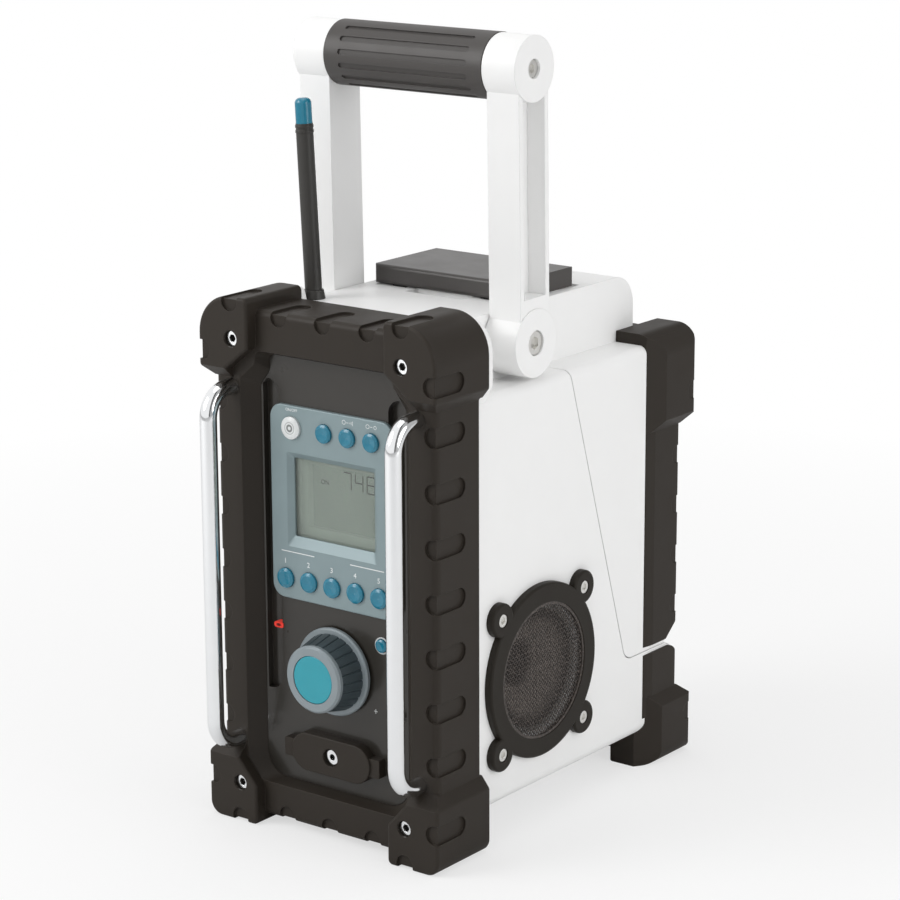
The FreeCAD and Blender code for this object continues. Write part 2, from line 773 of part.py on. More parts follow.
def front_treads():
    cuts = []
    for z in column_levels(NOTCH_MIDDLE, NOTCHES_PER_COLUMN):
        cuts += side_tread(FRAME_HALF, FRAME_FRONT, z)
    cuts += side_tread(BLOCK_HALF, 0, TOP_BLOCK_FOOT + NOTCH_HIGH / 2.0 + 3.0)
    cuts += side_tread(BLOCK_HALF, 0, LOW_BLOCK_TOP - NOTCH_HIGH / 2.0 - 8.0)
    cuts += [mirrored(c) for c in cuts]
    for i in range(RAIL_NOTCHES):
        x = (i - (RAIL_NOTCHES - 1) / 2.0) * RAIL_NOTCH_PITCH
        cuts += rail_tread(x, FRAME_FRONT, FRAME_TOP, 1, 1)
        cuts += rail_tread(x, FRAME_FRONT, FRAME_FOOT, -1, 1)
    for sign in (-1, 1):
        x = sign * (BLOCK_INNER + NOTCH_HIGH + 1.0)
        cuts += rail_tread(x, 0, BLOCK_TOP, 1, 1)
        cuts += rail_tread(x, 0, 0, -1, 1)
    return cuts


def front_bumper():
    ring = prism(rectangle(-FRAME_HALF, FRAME_HALF, FRAME_FOOT, FRAME_TOP, FRAME_ROUND), front_point,
                 FRAME_FRONT, FRAME_REAR)
    rim = edges_at(ring, lambda p: abs(p.y - FRAME_FRONT) < 1e-4)
    ring = ring.makeFillet(BLOCK_EDGE * 2, rim)
    whole = ring.fuse(both_sides(top_block()) + both_sides(low_block()))
    mouth = taper(opening_outline(), FRAME_FRONT - 0.01, panel_outline(0), PANEL_FRONT, front_point)
    whole = whole.cut(mouth)
    whole = whole.cut(prism(panel_outline(0), front_point, PANEL_FRONT - 0.01, PANEL_FRONT + 1.0))
    seat = prism(panel_outline(WALL + PANEL_FIT), front_point, PANEL_FRONT + 1.0, FRAME_REAR)
    whole = whole.cut(seat).cut(tuck(-TUCK_GAP)).cut(both_sides(collar_corner())).cut(body_form(0))
    whole = whole.cut(front_treads())
    for x, z in screw_places():
        whole = whole.cut(rod_y(SCREW_HEAD_R + 0.6, x, z, -1.0, SCREW_SUNK + SCREW_HEAD_HIGH))
        whole = whole.cut(rod_y(SCREW_R + 0.3, x, z, 0, FRAME_REAR + WALL))
    for shape in both_sides(bar_sockets()):
        whole = whole.cut(shape)
    return whole


def bar_sockets():
    low = rod_y(BAR_R, BAR_X, BAR_FOOT, 0, BAR_SEAT)
    return low.fuse(rod_y(BAR_R, BAR_X, BAR_TOP, 0, BAR_SEAT))


def guard_bar():
    """A round rod bent back at both ends into the column."""
    start = V(BAR_X, BAR_SEAT, BAR_FOOT)
    low_bend = V(BAR_X, BAR_FRONT + BAR_BEND, BAR_FOOT)
    low_rise = V(BAR_X, BAR_FRONT, BAR_FOOT + BAR_BEND)
    high_rise = V(BAR_X, BAR_FRONT, BAR_TOP - BAR_BEND)
    high_bend = V(BAR_X, BAR_FRONT + BAR_BEND, BAR_TOP)
    end = V(BAR_X, BAR_SEAT, BAR_TOP)
    slack = BAR_BEND * (1.0 - math.sqrt(0.5))
    low_middle = V(BAR_X, BAR_FRONT + slack, BAR_FOOT + slack)
    high_middle = V(BAR_X, BAR_FRONT + slack, BAR_TOP - slack)
    path = Part.Wire([
        Part.LineSegment(start, low_bend).toShape(),
        Part.Arc(low_bend, low_middle, low_rise).toShape(),
        Part.LineSegment(low_rise, high_rise).toShape(),
        Part.Arc(high_rise, high_middle, high_bend).toShape(),
        Part.LineSegment(high_bend, end).toShape(),
    ])
    circle = Part.Wire([Part.makeCircle(BAR_R, start, V(0, 1, 0))])
    return path.makePipeShell([circle], True, False)


def frame_screws():
    screws = []
    for x, z in screw_places():
        head = rod_y(SCREW_HEAD_R, x, z, SCREW_SUNK, SCREW_SUNK + SCREW_HEAD_HIGH)
        shank = rod_y(SCREW_R, x, z, SCREW_SUNK + SCREW_HEAD_HIGH, SCREW_SUNK + SCREW_HEAD_HIGH + SCREW_LONG)
        socket = hex_socket(x, SCREW_SUNK, z, SCREW_HEAD_R, V(0, SCREW_HEAD_HIGH * 0.6, 0))
        screws.append(head.fuse(shank).removeSplitter().cut(socket))
    return Part.makeCompound(screws)


# Front panel

def button_list():
    """Name, place and radius of every push button."""
    buttons = [
        ("power_button", POWER_X, TOP_ROW_Z, POWER_R),
        ("band_button", TOP_ROW_FIRST, TOP_ROW_Z, TOP_BUTTON_R),
        ("radio_alarm_button", TOP_ROW_FIRST + TOP_ROW_PITCH, TOP_ROW_Z, TOP_BUTTON_R),
        ("buzzer_alarm_button", TOP_ROW_FIRST + TOP_ROW_PITCH * 2, TOP_ROW_Z, TOP_BUTTON_R),
        ("scan_button", SCAN_X, SCAN_Z, SCAN_R),
    ]
    for i in range(5):
        buttons.append(("preset_%d_button" % (i + 1), (i - 2) * PRESET_PITCH, PRESET_Z, PRESET_R))
    return buttons


def groove_form(wall, front, rear):
    """The recess beside the bezel, or its tray when grown by the tray's wall. Its inner corners
    are rounded, and it runs only a little way under the bezel."""
    outer = PANEL_HALF - 1.5 + wall
    corners = [
        (GROOVE_INNER - wall, GROOVE_FOOT - wall, 9.0),
        (outer, GROOVE_FOOT - wall, 0),
        (outer, GROOVE_TOP + wall - 3.0, 0),
        (outer - 3.0, GROOVE_TOP + wall, 0),
        (GROOVE_INNER - wall, GROOVE_TOP + wall, 7.5),
    ]
    inset = BEZEL_SEAT + wall
    half = BEZEL_HALF - inset
    bezel_back = rectangle(-half, half, BEZEL_FOOT + inset, BEZEL_TOP - inset, BEZEL_ROUND - inset)
    form = prism(corners, front_point, front, rear).cut(prism(bezel_back, front_point, 0, BIG))
    return both_sides(form)


def front_panel():
    plate = prism(panel_outline(-PANEL_FIT), front_point, PANEL_FRONT, PANEL_FRONT + PANEL_THICK)
    back_rim = panel_outline(WALL)
    rim = prism(back_rim, front_point, PANEL_FRONT + 1.0 + PANEL_FIT, PANEL_FRONT + PANEL_THICK)
    floor = PANEL_FRONT + GROOVE_DEEP
    trays = groove_form(GROOVE_WALL, PANEL_FRONT + 1.2, floor + GROOVE_WALL)
    trays = [t.common(prism(back_rim, front_point, 0, BIG)) for t in trays]
    whole = fused([plate, rim] + trays)
    for groove in groove_form(0, PANEL_FRONT - 1.0, floor):
        whole = whole.cut(groove)
    half = WINDOW_HALF + WALL
    frame_hole = rectangle(-half, half, WINDOW_FOOT - WALL, WINDOW_TOP + WALL, 2.0)
    whole = whole.cut(prism(frame_hole, front_point, 0, BIG))
    for name, x, z, radius in button_list():
        slack = BUTTON_FIT if name == "scan_button" else BUTTON_FIT + 0.2
        whole = whole.cut(rod_y(radius + slack, x, z, 0, BIG))
    whole = whole.cut(rod_y(SLIDER_R + 0.4, 0, KNOB_Z, 0, BIG))
    whole = whole.cut(rod_y(JACK_R, 0, AUX_Z, 0, BIG))
    whole = whole.cut(indicator_shape(0.05, BIG))
    return whole


def indicator_shape(grow, rear):
    half = INDICATOR_WIDE / 2.0 + grow
    high = INDICATOR_HIGH / 2.0 + grow
    corners = rectangle(INDICATOR_X - half, INDICATOR_X + half, INDICATOR_Z - high, INDICATOR_Z + high, 1.4)
    return prism(corners, front_point, PANEL_FRONT - INDICATOR_PROUD, rear)


def indicator_lens():
    return indicator_shape(0, PANEL_FRONT + GROOVE_DEEP + GROOVE_WALL + 1.0)


def display_bezel():
    plate = prism(rectangle(-BEZEL_HALF, BEZEL_HALF, BEZEL_FOOT, BEZEL_TOP, BEZEL_ROUND), front_point,
                  BEZEL_FRONT, PANEL_FRONT)
    rim = edges_at(plate, lambda p: abs(p.y - BEZEL_FRONT) < 1e-4)
    plate = plate.makeFillet(0.8, rim)
    hood_outline = rectangle(-WINDOW_HALF - WALL + 0.2, WINDOW_HALF + WALL - 0.2,
                             WINDOW_FOOT - WALL + 0.2, WINDOW_TOP + WALL - 0.2, 2.0)
    hood = prism(hood_outline, front_point, BEZEL_FRONT + 0.5, BEZEL_DEEP)
    whole = fused([plate, hood])
    mouth = rectangle(-WINDOW_HALF, WINDOW_HALF, WINDOW_FOOT, WINDOW_TOP, 1.0)
    throat = rectangle(-LCD_HALF, LCD_HALF, LCD_FOOT, LCD_TOP, 1.0)
    whole = whole.cut(taper(mouth, BEZEL_FRONT - 0.01, throat, BEZEL_DEEP - 1.0, front_point))
    whole = whole.cut(prism(throat, front_point, BEZEL_DEEP - 1.1, BEZEL_DEEP + 1.0))
    for name, x, z, radius in button_list():
        if name != "scan_button":
            whole = whole.cut(rod_y(radius + BUTTON_FIT, x, z, 0, BIG))
    return whole


def lcd_lens():
    corners = rectangle(-LCD_HALF - 2.0, LCD_HALF + 2.0, LCD_FOOT - 2.0, LCD_TOP + 2.0, 1.0)
    return prism(corners, front_point, BEZEL_DEEP, BEZEL_DEEP + LENS_THICK)


def lcd_module():
    front = BEZEL_DEEP + LENS_THICK
    glass = prism(rectangle(-LCD_HALF - 1.0, LCD_HALF + 1.0, LCD_FOOT - 1.0, LCD_TOP + 1.0), front_point,
                  front, front + LCD_THICK)
    foot = prism(rectangle(-LCD_HALF + 4.0, LCD_HALF - 4.0, LCD_FOOT + 4.0, LCD_TOP - 4.0), front_point,
                 front + LCD_THICK - 0.01, BOARD_FRONT)
    return fused([glass, foot])


def button_cap(x, z, radius, front, dished, lip):
    """A domed cap with a finger dish, a lip behind the panel and a stem to its switch."""
    seat = PANEL_FRONT + PANEL_THICK + 0.3
    stem_end = BOARD_FRONT - SWITCH_HIGH - BUTTON_TRAVEL - 0.2
    crown = BUTTON_PROUD * 0.35
    profile = [
        V(0, front + crown * dished, 0),
        V(radius * 0.45, front + crown * dished * 0.45, 0),
        V(radius * 0.72, front, 0),
        V(radius, front + crown, 0),
        V(radius, seat, 0),
        V(radius + lip, seat, 0),
        V(radius + lip, seat + 1.2, 0),
        V(BUTTON_STEM_R, seat + 1.2, 0),
        V(BUTTON_STEM_R, stem_end, 0),
        V(0, stem_end, 0),
    ]
    face = Part.Face(Part.makePolygon(profile + [profile[0]]))
    cap = face.revolve(V(0, 0, 0), V(0, 1, 0), 360)
    cap.translate(V(x, 0, z))
    return cap


def tact_switches():
    half = SWITCH_SIZE / 2.0
    switches = []
    for name, x, z, radius in button_list():
        body = box(x - half, x + half, BOARD_FRONT - SWITCH_HIGH + 0.5, BOARD_FRONT, z - half, z + half)
        plunger = rod_y(BUTTON_STEM_R, x, z, BOARD_FRONT - SWITCH_HIGH, BOARD_FRONT - SWITCH_HIGH + 0.6)
        switches.append(fused([body, plunger]))
    return Part.makeCompound(switches)


def main_board():
    board = prism(rectangle(-BOARD_HALF, BOARD_HALF, BOARD_FOOT, BOARD_TOP, 2.0), front_point,
                  BOARD_FRONT, BOARD_FRONT + BOARD_THICK)
    parts = [board]
    back = BOARD_FRONT + BOARD_THICK
    for x, z, half_wide, half_high, deep in ((-18.0, 205.0, 8.0, 8.0, 2.0), (20.0, 150.0, 6.0, 10.0, 6.0),
                                             (-22.0, 110.0, 7.0, 5.0, 12.0)):
        parts.append(box(x - half_wide, x + half_wide, back - 0.5, back + deep, z - half_high, z + half_high))
    return fused(parts).cut(rod_y(SLIDER_R + 0.5, 0, KNOB_Z, 0, BIG))


# Knob and encoder

def encoder_housing():
    half = ENCODER_HALF
    body = box(-half, half, ENCODER_FRONT, BOARD_FRONT, KNOB_Z - half, KNOB_Z + half)
    return body.cut(rod_y(SLIDER_R, 0, KNOB_Z, 0, BIG))


def encoder_slider():
    """The sleeve that the knob pushes in. It slides in the encoder and carries the turning shaft."""
    rear = BOARD_FRONT - KNOB_TRAVEL
    sleeve = rod_y(SLIDER_R - SHAFT_FIT, 0, KNOB_Z, PANEL_FRONT + 0.5, rear)
    return sleeve.cut(rod_y(SHAFT_R, 0, KNOB_Z, 0, BIG))


def encoder_shaft():
    """The turning shaft, with a flat that keys the knob."""
    front = KNOB_FRONT + RING_LONG + 4.0
    shaft = rod_y(SHAFT_R - SHAFT_FIT, 0, KNOB_Z, front, BOARD_FRONT - KNOB_TRAVEL)
    flat = box(SHAFT_R * 0.55, SHAFT_R + 1.0, front - 1.0, KNOB_REAR, KNOB_Z - SHAFT_R, KNOB_Z + SHAFT_R)
    return shaft.cut(flat)


def knob_body():
    """The grey moulding: front ring, core and rear flange in one."""
    flange_front = KNOB_REAR - FLANGE_THICK
    flange = cone_y(FLANGE_R - 0.8, FLANGE_R, 0, KNOB_Z, flange_front, flange_front + 0.8)
    flange = flange.fuse(rod_y(FLANGE_R, 0, KNOB_Z, flange_front + 0.8, KNOB_REAR))
    core = rod_y(KNOB_BORE_R, 0, KNOB_Z, KNOB_FRONT + 1.0, KNOB_REAR)
    ring = cone_y(SKIRT_R - 1.2, SKIRT_R, 0, KNOB_Z, KNOB_FRONT, KNOB_FRONT + 1.2)
    ring = ring.fuse(rod_y(SKIRT_R, 0, KNOB_Z, KNOB_FRONT + 1.2, KNOB_FRONT + RING_LONG))
    whole = fused([flange, core, ring])
    whole = whole.cut(rod_y(KNOB_CAP_R + 0.05, 0, KNOB_Z, KNOB_FRONT - 1.0, KNOB_FRONT + 2.0))
    whole = whole.cut(rod_y(KNOB_BORE_R - WALL, 0, KNOB_Z, KNOB_REAR - 9.0, KNOB_REAR + 1.0))
    hub = rod_y(SHAFT_R + WALL, 0, KNOB_Z, KNOB_FRONT + RING_LONG, KNOB_REAR - FLANGE_THICK)
    return fused([whole, hub]).cut(encoder_shaft())


def knob_skirt():
    """The dark fluted sleeve, wider at the flange."""
    front = KNOB_FRONT + RING_LONG
    rear = KNOB_REAR - FLANGE_THICK
    sleeve = cone_y(SKIRT_R, SKIRT_BASE_R, 0, KNOB_Z, front, rear)
    sleeve = sleeve.cut(rod_y(KNOB_BORE_R, 0, KNOB_Z, front - 1.0, rear + 1.0))
    for i in range(FLUTES):
        angle = 2 * math.pi * i / FLUTES
        outward = V(math.cos(angle), 0, math.sin(angle))
        start = V(0, front - 0.5, KNOB_Z) + outward * (SKIRT_R + FLUTE_R * 0.2)
        end = V(0, rear + 0.5, KNOB_Z) + outward * (SKIRT_BASE_R + FLUTE_R * 0.2)
        along = end - start
        corners = []
        for j in range(4):
            turn = angle + math.radians(90 * j)
            corners.append(start + V(math.cos(turn), 0, math.sin(turn)) * FLUTE_R)
        sleeve = sleeve.cut(Part.Face(Part.makePolygon(corners + [corners[0]])).extrude(along))
    return sleeve


def knob_cap():
    """The coloured disc in the end of the knob, slightly crowned."""
    rear = KNOB_FRONT + 2.0
    disc = rod_y(KNOB_CAP_R, 0, KNOB_Z, KNOB_FRONT + 0.2, rear)
    rim = edges_at(disc, lambda p: abs(p.y - KNOB_FRONT - 0.2) < 1e-4)
    return disc.makeFillet(0.8, rim)


# Auxiliary input

def aux_boss():
    oval = [
        (-AUX_HALF, AUX_Z - AUX_R, AUX_R - 0.01),
        (AUX_HALF, AUX_Z - AUX_R, AUX_R - 0.01),
        (AUX_HALF, AUX_Z + AUX_R, AUX_R - 0.01),
        (-AUX_HALF, AUX_Z + AUX_R, AUX_R - 0.01),
    ]
    boss = prism(oval, front_point, AUX_FRONT, PANEL_FRONT)
    rim = edges_at(boss, lambda p: abs(p.y - AUX_FRONT) < 1e-4)
    boss = boss.makeFillet(0.8, rim)
    lugs = prism(rectangle(-LUG_HALF, LUG_HALF, AUX_Z - LUG_HIGH / 2.0, AUX_Z + LUG_HIGH / 2.0, 0.8),
                 front_point, AUX_FRONT + LUG_STEP, PANEL_FRONT)
    whole = fused([boss, lugs])
    whole = whole.cut(rod_y(AUX_WELL_R, 0, AUX_Z, 0, AUX_FRONT + AUX_WELL_DEEP))
    return whole.cut(rod_y(JACK_R, 0, AUX_Z, 0, BIG))


def aux_jack():
    """The 3.5 mm socket: a bright collar with the plug bore, and its body on the panel's back."""
    mouth = AUX_FRONT + AUX_WELL_DEEP - 1.0
    collar = rod_y(JACK_R, 0, AUX_Z, mouth, PANEL_FRONT + PANEL_THICK + 1.0)
    body = box(-5.0, 5.0, PANEL_FRONT + PANEL_THICK, mouth + JACK_LONG + 2.0, AUX_Z - 5.0, AUX_Z + 5.0)
    return fused([collar, body]).cut(rod_y(JACK_BORE_R, 0, AUX_Z, 0, mouth + JACK_LONG))


# Speakers, drawn on the right and mirrored to the left

def speaker_ring():
    outer = SIDE_HALF + RING_PROUD
    ring = rod_x(RING_R, SPEAKER_Y, SPEAKER_Z, SIDE_HALF, outer)
    shapes = [ring]
    for y, z in ear_centres():
        shapes.append(rod_x(EAR_R, y, z, SIDE_HALF, outer))
    whole = fused(shapes)
    rim = edges_at(whole, lambda p: abs(p.x - outer) < 1e-4)
    whole = whole.makeFillet(1.5, rim)
    whole = whole.cut(rod_x(RING_BORE_R, SPEAKER_Y, SPEAKER_Z, 0, BIG))
    for y, z in ear_centres():
        whole = whole.cut(rod_x(EAR_HEAD_R + 0.3, y, z, outer - 2.4, BIG))
        whole = whole.cut(rod_x(EAR_SCREW_R, y, z, 0, BIG))
    return whole


def speaker_grille():
    """A flat punched disc with square holes, held in the ring."""
    front = SIDE_HALF + RING_PROUD - GRILLE_BACK
    disc = rod_x(RING_BORE_R, SPEAKER_Y, SPEAKER_Z, front - GRILLE_THICK, front)
    half = GRILLE_HOLE / 2.0
    count = int(RING_BORE_R / GRILLE_PITCH) + 1
    holes = []
    for i in range(-count, count + 1):
        for j in range(-count, count + 1):
            y = i * GRILLE_PITCH
            z = j * GRILLE_PITCH
            if math.hypot(abs(y) + half, abs(z) + half) > RING_BORE_R - 1.5:
                continue
            hole = box(front - 5.0, front + 5.0, SPEAKER_Y + y - half, SPEAKER_Y + y + half,
                       SPEAKER_Z + z - half, SPEAKER_Z + z + half)
            holes.append(hole)
    return disc.cut(Part.makeCompound(holes))


def turned_x(profile):
    """A solid of revolution about the speaker's own axis, from points (x, radius)."""
    points = [V(x, radius, 0) for x, radius in profile]
    solid = Part.Face(Part.makePolygon(points + [points[0]])).revolve(V(0, 0, 0), V(1, 0, 0), 360)
    solid.translate(V(0, SPEAKER_Y, SPEAKER_Z))
    return solid


def speaker_basket():
    front = SIDE_HALF - WALL
    neck = front - BASKET_DEEP
    cup = turned_x([
        (front, BASKET_R),
        (front - 3.0, BASKET_R),
        (neck, MAGNET_R),
        (neck, CONE_NECK_R + 3.0),
        (neck + 1.5, CONE_NECK_R + 3.0),
        (neck + 1.5, MAGNET_R - 1.0),
        (front - 2.0, CONE_R),
        (front, CONE_R),
    ])
    for i in range(4):
        window = Part.makeCylinder(8.0, BIG / 10.0, V(front - 12.0, 0, 0), V(0, 1, 0))
        window.rotate(V(0, 0, 0), V(1, 0, 0), 45 + 90 * i)
        window.translate(V(0, SPEAKER_Y, SPEAKER_Z))
        cup = cup.cut(window)
    return cup


def speaker_cone():
    front = SIDE_HALF - WALL
    deep = front - CONE_DEEP
    return turned_x([
        (front, CONE_R - 0.1),
        (front - CONE_THICK, CONE_R - 0.1),
        (deep - CONE_THICK, CONE_NECK_R),
        (deep - CONE_THICK, 0),
        (deep + 4.0, 0),
        (deep + 3.0, CONE_NECK_R * 0.6),
        (deep, CONE_NECK_R),
        (front, CONE_R - 4.0),
    ])


def speaker_magnet():
    front = SIDE_HALF - WALL - BASKET_DEEP
    return turned_x([
        (front, CONE_NECK_R + 2.0),
        (front, MAGNET_R - 2.0),
        (front - 1.5, MAGNET_R),
        (front - MAGNET_THICK, MAGNET_R),
        (front - MAGNET_THICK, 0),
        (front - MAGNET_THICK + 4.0, 0),
        (front - MAGNET_THICK + 4.0, CONE_NECK_R + 2.0),
    ])


def speaker_screws():
    outer = SIDE_HALF + RING_PROUD
    screws = []
    for y, z in ear_centres():
        head = rod_x(EAR_HEAD_R, y, z, outer - 2.4, outer - 0.4)
        shank = rod_x(EAR_SCREW_R, y, z, SIDE_HALF - WALL * 2, outer - 2.4)
        socket = hex_socket(outer - 0.4, y, z, EAR_HEAD_R, V(-1.2, 0, 0))
        screws.append(head.fuse(shank).removeSplitter().cut(socket))
    return Part.makeCompound(screws)


# Antenna

def leaned(shape):
    shape.rotate(V(ANTENNA_X, ANTENNA_Y, DECK_TOP), V(0, 1, 0), -ANTENNA_LEAN)
    return shape


def antenna_hole():
    return Part.makeCylinder(ANTENNA_BASE_R - 2.0, WALL * 4, V(ANTENNA_X, ANTENNA_Y, DECK_TOP - WALL * 2))


def antenna_base():
    """The threaded foot: a collar on the deck and a spigot through it."""
    foot = V(ANTENNA_X, ANTENNA_Y, DECK_TOP)
    collar = Part.makeCone(ANTENNA_BASE_R, ANTENNA_BASE_R - 1.0, ANTENNA_BASE_HIGH, foot)
    spigot = Part.makeCylinder(ANTENNA_BASE_R - 2.0, WALL * 2, V(ANTENNA_X, ANTENNA_Y, DECK_TOP - WALL * 2))
    return fused([collar, spigot]).cut(antenna_rod())


def antenna_rod():
    """The rubber-covered rod with two thin collars below the tip."""
    base = DECK_TOP + 1.5
    top = DECK_TOP + ANTENNA_LONG - ANTENNA_TIP
    shapes = [Part.makeCylinder(ANTENNA_R, top - base, V(ANTENNA_X, ANTENNA_Y, base))]
    for drop in (2.2, 5.0):
        band = Part.makeCylinder(ANTENNA_R + 0.3, 1.4, V(ANTENNA_X, ANTENNA_Y, top - drop))
        shapes.append(band)
    return leaned(fused(shapes))


def antenna_tip():
    """The coloured cap, with a rounded end."""
    base = DECK_TOP + ANTENNA_LONG - ANTENNA_TIP
    cap = Part.makeCylinder(ANTENNA_R - 0.2, ANTENNA_TIP, V(ANTENNA_X, ANTENNA_Y, base))
    rim = edges_at(cap, lambda p: abs(p.z - base - ANTENNA_TIP) < 1e-4)
    return leaned(cap.makeFillet(ANTENNA_R * 0.6, rim))


# Rear bumper in two pieces, split at the cover's hinge

def rear_section(column):
    """Plan view of the bumper's right limb, column or block."""
    outer = FRAME_HALF if column else BLOCK_HALF
    rear = REAR_COLUMN_REAR if column else TOTAL_DEPTH
    front = REAR_BLOCK_FRONT - 3.0 if column else REAR_BLOCK_FRONT
    return [
        (FOOT_INNER, HOUSING_REAR, 0),
        (SIDE_HALF, HOUSING_REAR, 0),
        (SIDE_HALF, REAR_FRONT, 0),
        (outer, front, 1.0),
        (outer, rear, 2.5),
        (FOOT_INNER, rear, 2.5),
    ]


def rear_upper_column():
    limb = prism(rear_section(True), top_point, UPPER_FOOT, REAR_TOP - WALL)
    notch = [
        (HINGE_Y - HINGE_R + 1.0, UPPER_FOOT - 1.0, 0),
        (BIG, UPPER_FOOT - 1.0, 0),
        (BIG, UPPER_FOOT + HINGE_NOTCH + BIG - REAR_COLUMN_REAR, 0),
        (REAR_COLUMN_REAR, UPPER_FOOT + HINGE_NOTCH, 0),
        (HINGE_Y - HINGE_R + 1.0, UPPER_FOOT, 0),
    ]
    return limb.cut(prism(notch, side_point, -BIG, BIG))


def rear_upper_block():
    """The corner block with its lip over the housing's ledge."""
    face = [
        (DECK_HALF + TUCK_GAP, REAR_BLOCK_FOOT - BLOCK_SLOPE, 0),
        (FRAME_HALF, REAR_BLOCK_FOOT - BLOCK_SLOPE, 0),
        (BLOCK_HALF, REAR_BLOCK_FOOT, 1.0),
        (BLOCK_HALF, REAR_TOP, REAR_BLOCK_ROUND),
        (DECK_HALF + TUCK_GAP, REAR_TOP, 0),
    ]
    side = [
        (REAR_FRONT, REAR_TOP + 1.0, 0),
        (REAR_FRONT, REAR_BLOCK_FOOT - BLOCK_SLOPE, 0),
        (REAR_COLUMN_REAR, REAR_BLOCK_FOOT - BLOCK_SLOPE, 0),
        (TOTAL_DEPTH, REAR_BLOCK_FOOT, 1.0),
        (TOTAL_DEPTH, REAR_TOP + 1.0, 0),
    ]
    block = prism(face, front_point, REAR_FRONT, TOTAL_DEPTH).common(prism(side, side_point, 0, BIG))
    plan = [
        (DECK_HALF, REAR_FRONT, 0),
        (SIDE_HALF, REAR_FRONT, 0),
        (BLOCK_HALF, REAR_BLOCK_FRONT, 1.0),
        (BLOCK_HALF, TOTAL_DEPTH, 3.0),
        (DECK_HALF, TOTAL_DEPTH, 0),
    ]
    return block.common(prism(plan, top_point, 0, BIG))


def rear_top_rail():
    top = REAR_TOP - REAR_RAIL_SINK
    profile = [
        (DECK_REAR + TUCK_GAP, LEDGE_TOP, 0),
        (DECK_REAR + TUCK_GAP, top, 1.0),
        (REAR_COLUMN_REAR, top, 4.0),
        (REAR_COLUMN_REAR, top - REAR_RAIL_HIGH, 1.0),
        (HOUSING_REAR, top - REAR_RAIL_HIGH, 0),
        (HOUSING_REAR, LEDGE_TOP, 0),
    ]
    return prism(profile, side_point, -DECK_HALF - 6.0, DECK_HALF + 6.0)


def rear_cover_bumper():
    limbs = both_sides(rear_upper_column()) + both_sides(rear_upper_block())
    whole = fused(limbs + [rear_top_rail()])
    whole = whole.cut(body_form(0))
    cuts = []
    for z in column_levels(NOTCH_MIDDLE - NOTCH_HIGH, 4):
        cuts += rear_side_tread(FRAME_HALF, REAR_COLUMN_REAR, z)
    cuts += rear_side_tread(BLOCK_HALF, TOTAL_DEPTH, REAR_BLOCK_FOOT + 13.0)
    cuts += [mirrored(c) for c in cuts]
    for i in range(RAIL_NOTCHES):
        x = (i - (RAIL_NOTCHES - 1) / 2.0) * RAIL_NOTCH_PITCH
        cuts += rail_tread(x, REAR_COLUMN_REAR, REAR_TOP - REAR_RAIL_SINK, 1, -1)
    return whole.cut(cuts)


def rear_lower_column():
    limb = prism(rear_section(True), top_point, LOW_BLOCK_HIGH - 6.0, LOWER_TOP)
    start = HINGE_Y - HINGE_R
    room = box(0, BIG, start, BIG, LOWER_TOP - HINGE_NOTCH, BIG)
    keep_y = REAR_COLUMN_REAR - HINGE_NOTCH
    keep = rod_x(HINGE_NOTCH, keep_y, LOWER_TOP - HINGE_NOTCH, 0, BIG)
    filler = box(0, BIG, start - 1.0, keep_y, LOWER_TOP - HINGE_NOTCH - 1.0, LOWER_TOP)
    return limb.cut(room.cut(keep).cut(filler))


def rear_lower_block():
    """The rear foot: it reaches forward under the housing and stands on the ground."""
    face = [
        (FOOT_INNER, 0, 2.0),
        (BLOCK_HALF, 0, BLOCK_LOW_ROUND),
        (BLOCK_HALF, LOW_BLOCK_HIGH, 1.0),
        (FRAME_HALF, LOW_BLOCK_HIGH + BLOCK_SLOPE, 0),
        (FOOT_INNER, LOW_BLOCK_HIGH + BLOCK_SLOPE, 0),
    ]
    side = [
        (FOOT_FRONT, -1.0, 0),
        (TOTAL_DEPTH, -1.0, 0),
        (TOTAL_DEPTH, LOW_BLOCK_HIGH, 1.0),
        (REAR_COLUMN_REAR, LOW_BLOCK_HIGH + BLOCK_SLOPE, 0),
        (FOOT_FRONT, LOW_BLOCK_HIGH + BLOCK_SLOPE, 0),
    ]
    plan = [
        (FOOT_INNER, FOOT_FRONT, 1.0),
        (SIDE_HALF - 4.0, FOOT_FRONT, 0),
        (BLOCK_HALF, REAR_BLOCK_FRONT, 1.0),
        (BLOCK_HALF, TOTAL_DEPTH, 3.0),
        (FOOT_INNER, TOTAL_DEPTH, 3.0),
    ]
    block = prism(face, front_point, FOOT_FRONT, TOTAL_DEPTH).common(prism(side, side_point, 0, BIG))
    return block.common(prism(plan, top_point, -1.0, BIG))


def rear_lower_rail():
    profile = [
        (REAR_FRONT + 6.0, HOUSING_FOOT, 0),
        (REAR_FRONT + 6.0, FRAME_FOOT, 2.0),
        (REAR_COLUMN_REAR, FRAME_FOOT, 4.0),
        (REAR_COLUMN_REAR, HOUSING_FOOT + 9.0, 1.0),
        (HOUSING_REAR, HOUSING_FOOT + 9.0, 0),
        (HOUSING_REAR, HOUSING_FOOT, 0),
    ]
    return prism(profile, side_point, -FOOT_INNER - 4.0, FOOT_INNER + 4.0)


def rear_lower_bumper():
    whole = fused(both_sides(rear_lower_column()) + both_sides(rear_lower_block()) + [rear_lower_rail()])
    whole = whole.cut(body_form(0))
    cuts = rear_side_tread(BLOCK_HALF, TOTAL_DEPTH, LOW_BLOCK_HIGH - 10.6)
    cuts += [mirrored(c) for c in cuts]
    return whole.cut(cuts)


# Rear cover and latch

def latch_well():
    """The shallow well in the cover that the latch turns in."""
    return box(-LATCH_HALF - 0.5, LATCH_HALF + 0.5, LATCH_PIN_Y - 16.0, LATCH_REAR + 5.0,
               DECK_TOP - LATCH_WELL_DEEP, DECK_TOP + 1.0)


